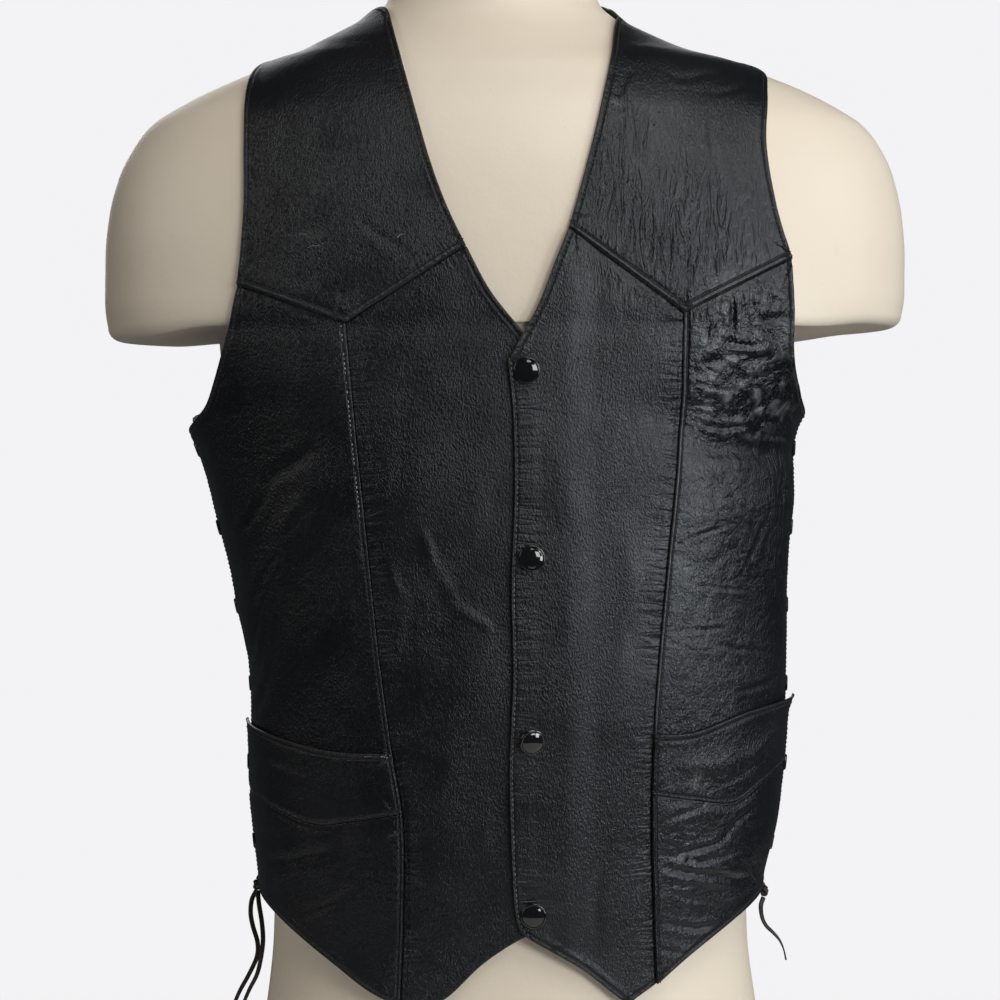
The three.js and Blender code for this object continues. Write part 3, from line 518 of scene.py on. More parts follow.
def foldDepth(base):
    x, y, level = base[..., 0], base[..., 1], base[..., 2]
    behind = smoothStep(y, -10, 10)
    total = np.zeros_like(x)
    for isFront, foldX, foldLevel, tilt, length, width, depth in bigFolds:
        tilt = math.radians(tilt)
        dx, dz = x - foldX, level - foldLevel
        along = (dx * math.cos(tilt) + dz * math.sin(tilt)) / length
        across = (dz * math.cos(tilt) - dx * math.sin(tilt)) / width
        share = (1 - behind) if isFront else behind
        total += share * depth * np.exp(-along ** 2 - across ** 2)
    return total


# Places on the leather as (angle, level)

wall = 1.8
restGap = 1.0
outerFace = restGap + wall
overlapFace = outerFace + 0.5
sideEdge = {"front": -8, "back": 10}


def frontAt(x, level):
    shift, half, _, _, power = drape.section(np.asarray(float(level)))
    share = np.clip((x - shift) / (half + outerFace), -1, 1)
    return float(np.arcsin(np.sign(share) * np.abs(share) ** (power / 2))), level


def backAt(x, level):
    return math.pi - frontAt(x, level)[0], level


def turned(degrees, level):
    return math.radians(degrees), level


def sideAt(side, y, level):
    _, _, front, back, power = drape.section(np.asarray(float(level)))
    turn = float(np.arccos((abs(y) / (front if y < 0 else back)) ** (power / 2)))
    return (side * turn, level) if y < 0 else (math.pi - side * turn, level)


def splinePoints(pairs):
    p = np.array(pairs, float)
    n = len(p)
    t = np.linspace(0, 1, 385) * (n - 1)
    i = np.minimum(t.astype(int), n - 2)
    w = (t - i)[:, None]
    a, b, c, d = p[np.maximum(i - 1, 0)], p[i], p[i + 1], p[np.minimum(i + 2, n - 1)]
    v0, v1 = (c - a) / 2, (d - b) / 2
    return (2 * b - 2 * c + v0 + v1) * w ** 3 + (3 * c - 3 * b - 2 * v0 - v1) * w ** 2 + v0 * w + b


def byLength(spots):
    steps = np.linalg.norm(np.diff(drape.point(spots[:, 0], spots[:, 1]), axis=0), axis=1)
    reach = np.concatenate([[0], np.cumsum(steps)])
    reach /= reach[-1]
    return lambda share: np.stack([np.interp(share, reach, spots[:, k]) for k in (0, 1)], -1)


def seenX(place):
    shift, half, _, _, power = drape.section(np.asarray(float(place[1])))
    turn = math.sin(place[0])
    return float(shift + (half + outerFace) * np.sign(turn) * abs(turn) ** (2 / power))


# Smooth lines through places, as functions of the share of their length: smooth as seen from the
# front or from behind, or smooth in turn

def frontLine(*places):
    seen = splinePoints([(seenX(place), place[1]) for place in places])
    return byLength(np.array([frontAt(x, level) for x, level in seen]))


def backLine(*places):
    seen = splinePoints([(seenX(place), place[1]) for place in places])
    return byLength(np.array([backAt(x, level) for x, level in seen]))


def roundLine(*places):
    return byLength(splinePoints([(angle * 150, level) for angle, level in places]) / (150, 1))


def reversedLine(curve):
    return lambda share: curve(1 - np.asarray(share, float))


def between(curve, high, low):
    shares = np.linspace(0, 1, 1500)
    levels = curve(shares)[:, 1]
    start, end = np.interp([-high, -low], -levels, shares)
    return lambda share: curve(start + (end - start) * np.asarray(share, float))


def chain(*links):
    counts = np.array([count for count, _ in links], float)
    starts = np.concatenate([[0], np.cumsum(counts)]) / counts.sum()

    def joined(share):
        share = np.asarray(share, float)
        out = np.zeros(share.shape + (2,))
        for k, (_, curve) in enumerate(links):
            first = share >= starts[k] if k == 0 else share > starts[k]
            here = first & ((share <= starts[k + 1]) if k < len(links) - 1 else True)
            if np.any(here):
                local = np.clip((share[here] - starts[k]) / (starts[k + 1] - starts[k]), 0, 1)
                out[here] = curve(local)
        return out
    return joined


def patch(top, bottom, left, right, across, down):
    u, v = across[None, :, None], down[:, None, None]
    edges = (1 - v) * top(across)[None] + v * bottom(across)[None]
    edges = edges + (1 - u) * left(down)[:, None] + u * right(down)[:, None]
    ends = np.array([0.0, 1.0])
    t, b = top(ends), bottom(ends)
    return edges - (1 - v) * ((1 - u) * t[0] + u * t[1]) - v * ((1 - u) * b[0] + u * b[1])


# Seam lines and edges of the two fronts and the back

seams = {
    "right": {
        "shoulder": roundLine(turned(-90, 751), turned(-90, 716)),
        "neckHigh": frontLine(turned(-90, 751), frontAt(-75, 747), frontAt(-71, 734), frontAt(-64, 709),
                              frontAt(-55, 677), frontAt(-46, 646), frontAt(-36, 619),
                              frontAt(-25, 596)),
        "neckLow": frontLine(frontAt(-25, 596), frontAt(-11, 570), frontAt(8, 546), frontAt(20, 527)),
        "yokeIn": frontLine(frontAt(-95, 552), frontAt(-25, 596)),
        "yokeOut": frontLine(frontAt(-159, 575), frontAt(-95, 552)),
        "armHigh": frontLine(turned(-90, 716), frontAt(-157, 705), frontAt(-158, 692),
                             frontAt(-157, 660), frontAt(-156, 620), frontAt(-159, 575)),
        "armLow": frontLine(frontAt(-159, 575), frontAt(-166, 545), frontAt(-178, 512),
                            frontAt(-188, 500), sideAt(-1, -8, 494)),
        "princess": frontLine(frontAt(-95, 552), frontAt(-88, 480), frontAt(-81, 412),
                              frontAt(-76, 362), frontAt(-69, 308), frontAt(-62, 262),
                              frontAt(-62, 210), frontAt(-64, 156)),
        "side": roundLine(*[sideAt(-1, -8, level) for level in (494, 420, 350, 280, 212)]),
        "pocketTop": [frontAt(-126, 308), frontAt(-100, 304)],
        "bandSeam": [frontAt(-117, 261), frontAt(-94, 263)],
        "sideLevels": (494, 316, 274, 212),
        "princessLevels": (552, 304, 269, 156),
        "hemOut": frontLine(sideAt(-1, -8, 212), frontAt(-140, 204), frontAt(-103, 179),
                            frontAt(-83, 165), frontAt(-64, 156)),
        "tip": frontLine(frontAt(-64, 156), frontAt(-54, 150)),
        "hemIn": frontLine(frontAt(-54, 150), frontAt(-35, 163), frontAt(-15, 182), frontAt(8, 197),
                           frontAt(24, 201)),
        "front": frontLine(frontAt(20, 527), frontAt(27, 495), frontAt(28, 350), frontAt(27, 230),
                           frontAt(24, 201)),
        "backArm": backLine(turned(270, 716), backAt(-158, 700), backAt(-152, 650), backAt(-153, 600),
                            backAt(-162, 555), backAt(-174, 524), sideAt(-1, 24, 504)),
        "backSide": roundLine(sideAt(-1, 24, 504),
                              *[sideAt(-1, 10, level) for level in (488, 430, 350, 280, 210)]),
    },
    "left": {
        "shoulder": roundLine(turned(90, 747), turned(90, 716)),
        "neckHigh": frontLine(turned(90, 747), frontAt(65, 735), frontAt(61, 713), frontAt(56, 690),
                              frontAt(49.5, 662), frontAt(41.3, 631), frontAt(34, 606)),
        "neckLow": frontLine(frontAt(34, 606), frontAt(26, 586), frontAt(17, 563), frontAt(7, 544),
                             frontAt(-1, 529)),
        "yokeIn": frontLine(frontAt(34, 606), frontAt(101, 558)),
        "yokeOut": frontLine(frontAt(101, 558), frontAt(166, 591)),
        "armHigh": frontLine(turned(90, 716), frontAt(156, 706), frontAt(155, 690), frontAt(152, 658),
                             frontAt(157, 622), frontAt(166, 591)),
        "armLow": frontLine(frontAt(166, 591), frontAt(167.5, 562), frontAt(167.8, 537),
                            frontAt(173.5, 516), sideAt(1, -8, 504)),
        "princess": frontLine(frontAt(101, 558), frontAt(99, 490), frontAt(93, 425), frontAt(87, 360),
                              frontAt(84, 315), frontAt(83, 270), frontAt(84, 220), frontAt(86, 168)),
        "side": roundLine(*[sideAt(1, -8, level) for level in (504, 430, 350, 280, 213)]),
        "pocketTop": [frontAt(108, 316), frontAt(139, 326)],
        "bandSeam": [frontAt(107, 276), frontAt(131, 273), frontAt(149, 283)],
        "sideLevels": (504, 331, 293, 213),
        "princessLevels": (558, 315, 280, 168),
        "hemOut": frontLine(frontAt(86, 168), frontAt(106, 184), frontAt(129, 199), sideAt(1, -8, 213)),
        "tip": frontLine(frontAt(69, 157), frontAt(86, 168)),
        "hemIn": frontLine(frontAt(10, 198), frontAt(25, 189), frontAt(43, 178), frontAt(59, 165),
                           frontAt(69, 157)),
        "front": frontLine(frontAt(-1, 529), frontAt(2, 500), frontAt(3, 455), frontAt(1, 400),
                           frontAt(2, 350), frontAt(0, 290), frontAt(3, 215), frontAt(10, 198)),
        "backArm": backLine(turned(90, 716), backAt(158, 700), backAt(152, 650), backAt(153, 600),
                            backAt(160, 560), backAt(171, 532), sideAt(1, 32, 512)),
        "backSide": roundLine(sideAt(1, 32, 512),
                              *[sideAt(1, 10, level) for level in (490, 430, 350, 280, 210)]),
    },
}
backNeck = roundLine(turned(90, 747), turned(118, 762), backAt(8, 772), backAt(-24, 772),
                     turned(242, 765), turned(270, 751))
backHem = roundLine(sideAt(1, 10, 210), backAt(70, 203), backAt(-70, 203), sideAt(-1, 10, 210))


def cellShares(length, cell):
    # even cells, with closer ones at both ends to round the edge
    close = np.array([0.2, 0.5, 0.95, 1.5])
    middle = np.linspace(close[-1], length - close[-1], max(2, round((length - 3) / cell)) + 1)[1:-1]
    return np.concatenate([close, middle, length - close[::-1]]) / length


# How the edges that make up one side of a grid share it out
runs = {
    "yokeOut": 5, "yokeIn": 6, "neckLow": 4, "tip": 2, "hemIn": 8,
    "princess": (14, 2, 4),    # over the pocket, beside its strip and below
    "back": (5, 10, 10),       # shoulder, armhole and side
    "armShare": 0.34,          # of the free edge of a side front over the pocket
}


def seamDown(name):
    edge = seams[name]
    levels = edge["princessLevels"]
    parts = zip(runs["princess"], levels, levels[1:])
    return chain(*[(count, between(edge["princess"], high, low)) for count, high, low in parts])


def yokeGrid(name, cell):
    edge, isRight = seams[name], name == "right"
    outer, inner = (runs["yokeOut"], edge["yokeOut"]), (runs["yokeIn"], edge["yokeIn"])
    return patch(reversedLine(edge["shoulder"]) if isRight else edge["shoulder"],
                 chain(outer, inner) if isRight else chain(inner, outer),
                 edge["armHigh"] if isRight else edge["neckHigh"],
                 edge["neckHigh"] if isRight else edge["armHigh"],
                 cellShares(128, cell), cellShares(178, cell))


def centreGrid(name, cell):
    edge, isRight = seams[name], name == "right"
    neck = (runs["neckLow"], edge["neckLow"] if isRight else reversedLine(edge["neckLow"]))
    seam, tip, hem = [(runs[key], edge[key]) for key in ("yokeIn", "tip", "hemIn")]
    return patch(chain(seam, neck) if isRight else chain(neck, seam),
                 chain(tip, hem) if isRight else chain(hem, tip),
                 seamDown(name) if isRight else edge["front"],
                 edge["front"] if isRight else seamDown(name),
                 cellShares(112, cell), cellShares(385, cell))


def sideGrids(name, cell):
    edge, isRight = seams[name], name == "right"
    side = -1 if isRight else 1
    sideLevels, seamLevels = edge["sideLevels"], edge["princessLevels"]

    def crossing(places, k):
        onSeam = tuple(between(edge["princess"], seamLevels[k], 0)(0.0))
        onSide = sideAt(side, -8, sideLevels[k])
        ends = [onSide, *places, onSeam] if isRight else [onSeam, *places, onSide]
        return frontLine(*ends)

    crossings = [edge["yokeOut"], crossing(edge["pocketTop"], 1), crossing(edge["bandSeam"], 2),
                 edge["hemOut"]]
    armShare = runs["armShare"]
    grids = []
    lengths = (250, 42, 85)
    for k, length in enumerate(lengths):
        seam = between(edge["princess"], seamLevels[k], seamLevels[k + 1])
        free = between(edge["side"], sideLevels[k], sideLevels[k + 1])
        if k == 0:
            free = chain((armShare, edge["armLow"]), (1 - armShare, free))
        grids.append(patch(crossings[k], crossings[k + 1], free if isRight else seam,
                           seam if isRight else free, cellShares(118, cell), cellShares(length, cell)))
    armRows = np.count_nonzero(cellShares(lengths[0], cell) <= armShare)
    return grids, crossings, armRows / (sum(len(grid) for grid in grids) - len(grids))


def backGrid(cell):
    closer = lambda curve: (lambda share: curve(np.asarray(share, float) ** 1.5))
    edgeDown = lambda edge: chain(*zip(runs["back"], (edge["shoulder"], closer(edge["backArm"]),
                                                      edge["backSide"])))
    wrap = edgeDown(seams["right"])

    def rightDown(share):
        out = wrap(share)
        out[..., 0] = np.where(out[..., 0] < 0, out[..., 0] + 2 * math.pi, out[..., 0])
        return out

    across = cellShares(420, cell)
    across = across - 0.08 * np.sin(2 * np.pi * across)
    return patch(backNeck, backHem, edgeDown(seams["left"]), rightDown, across, cellShares(560, cell))


# Relief of the leather: listed creases, soft undulation, and how much each place is wrinkled

def latticeNoise(x, y, seed):
    # smooth noise from -1 to 1 over a unit lattice
    xi, yi = np.floor(x).astype(np.int64), np.floor(y).astype(np.int64)
    fx, fy = x - xi, y - yi
    fx, fy = fx * fx * fx * (fx * (fx * 6 - 15) + 10), fy * fy * fy * (fy * (fy * 6 - 15) + 10)

    def corner(i, j):
        h = (i * 374761393 + j * 668265263 + seed * 974711) & 0x7FFFFFFF
        h = ((h ^ (h >> 13)) * 1274126177) & 0x7FFFFFFF
        return ((h ^ (h >> 16)) & 0xFFFF) / 32767.5 - 1
    low = corner(xi, yi) * (1 - fx) + corner(xi + 1, yi) * fx
    high = corner(xi, yi + 1) * (1 - fx) + corner(xi + 1, yi + 1) * fx
    return low * (1 - fy) + high * fy


# Creases (depth below zero) and ridges on the fronts and the back, x as seen from the front.
# columns: x, level, tilt, half length, width, depth, bend
creases = {
    "front": [
        (137, 541, -4, 17, 1.8, -1.3, 1.5), (129, 533.5, 4, 20, 1.6, -1.0, -2),
        (119, 517, -5, 15, 1.4, -0.8, 1), (125, 493, -5, 20, 2.0, -1.2, 2),
        (113, 553, 84, 9, 1.3, -0.9, 0), (121, 561, 80, 9, 1.3, -0.9, 1), (136, 572, 70, 8, 1.4, -1.0, 1),
        (147, 566, 60, 9, 1.3, -0.8, 0), (155, 489, -8, 15, 2.4, -1.5, -2),
        (129, 557, 84, 10, 1.8, -1.2, 1), (115, 549, 82, 7, 1.5, -1.0, 0),
        (141, 567, -75, 9, 1.6, -1.1, 1), (159, 572, -38, 9, 1.8, -1.2, 0),
        (154, 556, 12, 12, 2.2, -1.4, 2), (136, 479, -2, 30, 7, -1.4, 0), (150, 524, 22, 12, 1.8, -1.2, 1),
        (146, 507, 30, 13, 1.7, -0.9, 2), (112, 505, 12, 9, 1.5, -0.8, 0),
        (120, 460, -38, 14, 1.6, -0.7, 1), (133, 447, -30, 16, 1.7, -0.7, -2),
        (115, 432, 20, 12, 1.5, -0.6, 1), (146, 430, 68, 20, 2.4, -0.8, 2),
        (158, 452, 84, 18, 2.6, -1.1, 1), (160, 408, 86, 20, 2.4, -0.9, -2),
        (124, 398, -12, 18, 1.6, -0.6, 2), (112, 374, 8, 16, 1.5, -0.5, 1),
        (136, 362, -10, 18, 1.8, -0.7, -2), (146, 340, 14, 14, 2.0, -0.7, 1),
        (102, 268.6, 16, 16, 1.8, -1.0, 2), (111.5, 249, 22, 18, 2.0, -1.3, 3),
        (119, 240, 14, 14, 1.7, -1.0, 1), (111, 231, -14, 27, 2.3, -1.7, 2),
        (101, 218, -20, 15, 1.8, -0.9, 0), (126, 217, 12, 16, 3.0, 1.1, 2),
        (103, 201, -15, 18, 2.0, -1.2, 1), (94, 188, -22, 10, 1.6, -0.8, 0),
        (134, 262, 34, 16, 2.4, -0.9, 1), (118, 297, 10, 24, 4.5, 1.3, 3), (146, 306, 38, 14, 4.0, 1.4, 0),
        (132, 290, 26, 18, 2.2, -0.8, 2), (100, 582, 62, 8, 1.6, -0.9, 1),
        (107, 590, 78, 14, 1.6, -0.9, 1), (92, 596, 82, 16, 1.7, -0.8, -1),
        (80, 600, 84, 14, 1.5, -0.8, 1), (119, 592, 86, 14, 1.6, -0.8, 0),
        (131, 600, 80, 16, 1.8, -0.7, 2), (142, 604, 96, 14, 1.7, -0.7, 0),
        (68, 612, 80, 12, 1.5, -0.8, 0), (57, 624, 74, 12, 1.5, -0.7, 1), (99, 640, 88, 18, 2.2, -0.6, 2),
        (118, 655, 95, 20, 2.4, -0.5, -2), (76, 660, 72, 16, 2.0, -0.5, 1),
        (66, 690, 60, 16, 2.2, -0.5, 1), (110, 700, 8, 20, 3.0, -0.6, 2), (128, 690, 20, 14, 2.4, -0.5, 1),
        (-118, 575, 30, 20, 3.5, -0.5, 2), (-70, 600, -34, 24, 4.0, -0.5, 2),
        (-130, 660, 80, 24, 5.0, -0.4, 2), (-146, 448, 64, 24, 3.2, -0.9, 3),
        (-138, 402, 58, 26, 3.6, -1.0, 3), (-150, 372, 70, 22, 3.0, -1.1, 2),
        (-120, 440, 50, 20, 4.0, -0.6, 2), (-142, 336, 66, 18, 3.2, -0.8, 2),
        (-128, 470, 30, 22, 4.5, -0.7, 2), (-65, 405, -72, 15, 3.0, 0.8, 2),
        (-43, 413, -64, 24, 4.0, 1.0, 2), (-24, 384, -34, 19, 4.0, 0.9, -2),
        (-22, 340, 86, 42, 12.0, 1.1, 3), (-56, 376, 80, 24, 5.0, -0.6, 2),
        (-20, 440, 80, 26, 6.0, 0.5, 2), (-34, 300, 80, 30, 7.0, 0.6, 2), (-16, 262, 96, 26, 7.0, 0.6, 2),
        (-70, 470, 84, 60, 7.0, 0.7, 2), (-66, 410, 82, 40, 6.0, 0.5, -2),
        (-120, 240, 20, 24, 4.0, -0.7, 2), (-104, 214, 32, 20, 3.6, -0.6, 2),
        (-132, 290, -14, 20, 3.0, 0.6, 2), (50, 470, 80, 46, 8.0, 0.6, 3), (66, 390, 86, 50, 6.0, 0.6, 2),
        (40, 330, 78, 40, 9.0, 0.5, 2), (30, 250, 60, 30, 8.0, 0.6, 2), (52, 226, 74, 24, 5.0, -0.5, 2),
        (18, 222, 4, 12, 5.0, -0.6, 2),
    ],
    "back": [
        (120, 600, 70, 30, 3.0, -1.0, 3), (138, 560, 60, 22, 2.6, -1.1, 2),
        (-128, 606, -68, 26, 3.0, -1.0, 3), (-140, 556, -58, 20, 2.6, -1.0, 2),
        (96, 520, -46, 24, 3.4, -1.0, 3), (-88, 508, 42, 26, 3.2, -1.1, 3),
        (60, 440, -30, 30, 3.6, -0.9, 3), (-52, 428, 26, 28, 3.6, -1.0, 3),
        (118, 420, -36, 24, 3.0, -1.2, 2), (-122, 408, 34, 24, 3.0, -1.2, 2),
        (134, 360, -24, 20, 2.6, -1.0, 2), (-136, 350, 28, 18, 2.6, -1.0, 2),
        (30, 380, -8, 40, 4.4, -0.8, 4), (-20, 348, 8, 44, 4.0, -0.8, 4), (86, 330, 80, 40, 5.0, 0.9, 3),
        (-84, 318, 98, 38, 5.0, 0.9, 3), (10, 300, 84, 46, 6.0, 0.8, 3), (50, 690, -12, 34, 5.0, -0.6, 3),
        (-60, 690, 12, 34, 5.0, -0.6, 3), (4, 640, 86, 60, 8.0, -0.5, 3), (126, 470, 78, 24, 2.6, -0.9, 2),
        (-132, 464, -80, 24, 2.6, -0.9, 2), (0, 250, -4, 50, 5.0, -0.6, 3),
        (96, 250, 66, 24, 4.0, -0.8, 2), (-100, 246, -64, 24, 4.0, -0.8, 2),
    ],
}

# How strongly a place is wrinkled. columns: x, level, half width, half height, amount
places = {
    "front": {
        "crumple": [(137, 530, 34, 48, 1.0), (124, 470, 24, 34, 0.55), (138, 425, 34, 50, 0.5),
                    (120, 360, 34, 46, 0.38), (112, 236, 38, 40, 0.45), (122, 300, 30, 14, 0.25),
                    (100, 575, 50, 22, 0.3), (-135, 430, 30, 60, 0.16), (62, 640, 20, 50, 0.2)],
        "upright": [(106, 604, 52, 34, 1.0), (62, 640, 24, 44, 0.7), (110, 680, 46, 40, 0.2),
                    (160, 450, 9, 60, 0.8), (-100, 640, 60, 60, 0.16), (134, 566, 30, 12, 0.7),
                    (50, 500, 40, 60, 0.14)],
        # shine: lower roughness, and more pale flecks and a painted highlight in the colour
        "shine": [(136, 530, 42, 56, 1.5), (125, 420, 44, 70, 0.8), (115, 300, 50, 50, 0.6),
                  (112, 230, 44, 46, 0.8), (105, 610, 60, 50, 0.55), (60, 470, 40, 90, 0.3)],
        "dull": [(17, 214, 15, 27, 1.0)],
        "scuff": [(106.3, 286, 3.2, 5.0, 1.0), (-112, 598, 7, 2.2, 0.35), (64, 683, 3.0, 1.6, 0.9),
                  (53.5, 628, 1.4, 2.4, 0.8), (90, 160, 5, 2, 0.4)],
    },
    "back": {
        "crumple": [(130, 440, 40, 80, 0.5), (-130, 440, 40, 80, 0.5), (0, 330, 90, 50, 0.22),
                    (120, 610, 34, 40, 0.35), (-124, 610, 34, 40, 0.35)],
        "upright": [(0, 480, 100, 120, 0.15)],
        "shine": [(0, 480, 150, 200, 0.35)],
        "dull": [],
        "scuff": [],
    },
}


def reliefAt(base):
    x, y, level = base[..., 0], base[..., 1], base[..., 2]
    behind = smoothStep(y, -6, 6)
    wx = x + 2.2 * latticeNoise(x / 17, level / 17, 3)
    wz = level + 2.2 * latticeNoise(x / 17, level / 17, 7)
    total = np.zeros_like(x)
    for face, share in (("front", 1 - behind), ("back", behind)):
        made = np.zeros_like(x)
        for cx, cz, tilt, length, width, depth, bend in creases[face]:
            tilt = math.radians(tilt)
            dx, dz = wx - cx, wz - cz
            along = (dx * math.cos(tilt) + dz * math.sin(tilt)) / length
            across = (dz * math.cos(tilt) - dx * math.sin(tilt) - bend * (along ** 2 - 0.4)) / width
            fade = np.clip(1 - along ** 2, 0, 1) ** 0.8
            if depth < 0:
                made += fade * (depth * np.exp(-across ** 2 * 1.6)
                                - 0.42 * depth * np.exp(-((np.abs(across) - 1.7) / 0.9) ** 2))
            else:
                made += fade * depth * np.exp(-across ** 2)
        total += share * made
    return total


def amountOf(kind, base):
    x, y, level = base[..., 0], base[..., 1], base[..., 2]
    behind = smoothStep(y, -6, 6)
    wx = x + 7 * latticeNoise(x / 23, level / 23, 11)
    wz = level + 7 * latticeNoise(x / 23, level / 23, 13)
    total = np.zeros_like(x)
    for face, share in (("front", 1 - behind), ("back", behind)):
        most = np.zeros_like(x)
        for cx, cz, halfWidth, halfHeight, amount in places[face][kind]:
            far = ((wx - cx) / halfWidth) ** 2 + ((wz - cz) / halfHeight) ** 2
            most = np.maximum(most, amount * np.exp(-far ** 1.5 * 0.6))
        total += share * most
    return total


# Lengths along the leather, laid flat: how far round from the front middle at each level
flatAngles = np.linspace(-2.2, 5.4, 900)
flatLevels = np.linspace(140, 790, 120)
flatPoints = drape.point(flatAngles[None, :], flatLevels[:, None])
flatReach = np.concatenate([np.zeros((len(flatLevels), 1)),
                            np.cumsum(np.linalg.norm(np.diff(flatPoints, axis=1), axis=2), axis=1)], axis=1)
flatMiddle = np.array([np.interp(0.0, flatAngles, row) for row in flatReach])
flatReach = flatReach - flatMiddle[:, None]


def laidFlat(angle, level):
    i = (angle - flatAngles[0]) / (flatAngles[1] - flatAngles[0])
    j = np.clip((level - flatLevels[0]) / (flatLevels[1] - flatLevels[0]), 0, len(flatLevels) - 1.001)
    a, b = i.astype(int), j.astype(int)
    s, t = i - a, j - b
    reach = ((1 - s) * (1 - t) * flatReach[b, a] + s * (1 - t) * flatReach[b, a + 1]
             + (1 - s) * t * flatReach[b + 1, a] + s * t * flatReach[b + 1, a + 1])
    return np.stack([reach, level, np.zeros_like(level)], -1)


# Edges. raise: how high the turned edge stands, reach: how wide it is, ridge: a rolled seam,
# groove: under the stitching, pucker: ripples drawn in by it, the rubbed colour: paler wear along it and a
# painted highlight on a ridge's crest
edgeStyles = {
    "turned": {"raise": 0.35, "reach": 7.5, "stitch": 2.8, "groove": 0.36, "pucker": 0.65, "puckerReach": 6.0,
               "rubbed": 0.35},
    "placket": {"raise": 0.30, "reach": 16.0, "stitch": 1.7, "groove": 0.40, "pucker": 1.9,
                "puckerReach": 15.0, "rubbed": 0.6},
    "rawNeck": {"raise": 0.25, "reach": 6.5, "stitch": 3.2, "groove": 0.40, "pucker": 0.8, "puckerReach": 9.0,
                "raw": 1.0},
    "rolled": {"ridge": 1.20, "ridgeAt": 1.7, "ridgeWidth": 0.95, "stitch": 3.9, "groove": 0.50,
               "raise": 0.50, "reach": 15.0, "pucker": 0.9, "puckerReach": 9.0, "rubbed": 0.4},
    "tucked": {"raise": -0.45, "reach": 5.0, "pucker": 0.8, "puckerReach": 9.0},
    # piped: its strong rubbed colour on the crest is mostly a painted highlight on the roll
    "piped": {"ridge": 1.05, "ridgeAt": 1.15, "ridgeWidth": 0.62, "stitch": 2.7, "groove": 0.45,
              "raise": 0.15, "reach": 6.0, "pucker": 0.6, "puckerReach": 6.0, "rubbed": 2.4},
    "drawn": {"raise": -0.30, "reach": 4.0, "pucker": 1.35, "puckerReach": 11.0},
    "flat": {"raise": -0.15, "reach": 3.0, "stitch": 2.0, "groove": 0.40, "pucker": 0.7, "puckerReach": 7.0},
    "pocketLip": {"ridge": 0.60, "ridgeAt": 0.9, "ridgeWidth": 0.8, "raise": 0.35, "reach": 9.0,
                  "stitch": 3.4, "groove": 0.40, "pucker": 0.45, "puckerReach": 6.0, "rubbed": 0.35},
    "hidden": {},
}
thickness = 1.45
roundness = 0.85
tuckSettings = {"reach": 2.2, "drop": 1.1, "thickness": 0.35}    # where a border slips under the next piece
lapReach = 0.6                                                   # where it laps over the next piece
whole = slice(None)
borders = {    # the points of a border, and those a few cells further in
    "top": ((0, whole), (4, whole)), "bottom": ((-1, whole), (-5, whole)),
    "left": ((whole, 0), (whole, 4)), "right": ((whole, -1), (whole, -5)),
}
stitchLines = {"black": [], "pale": [], "grey": []}


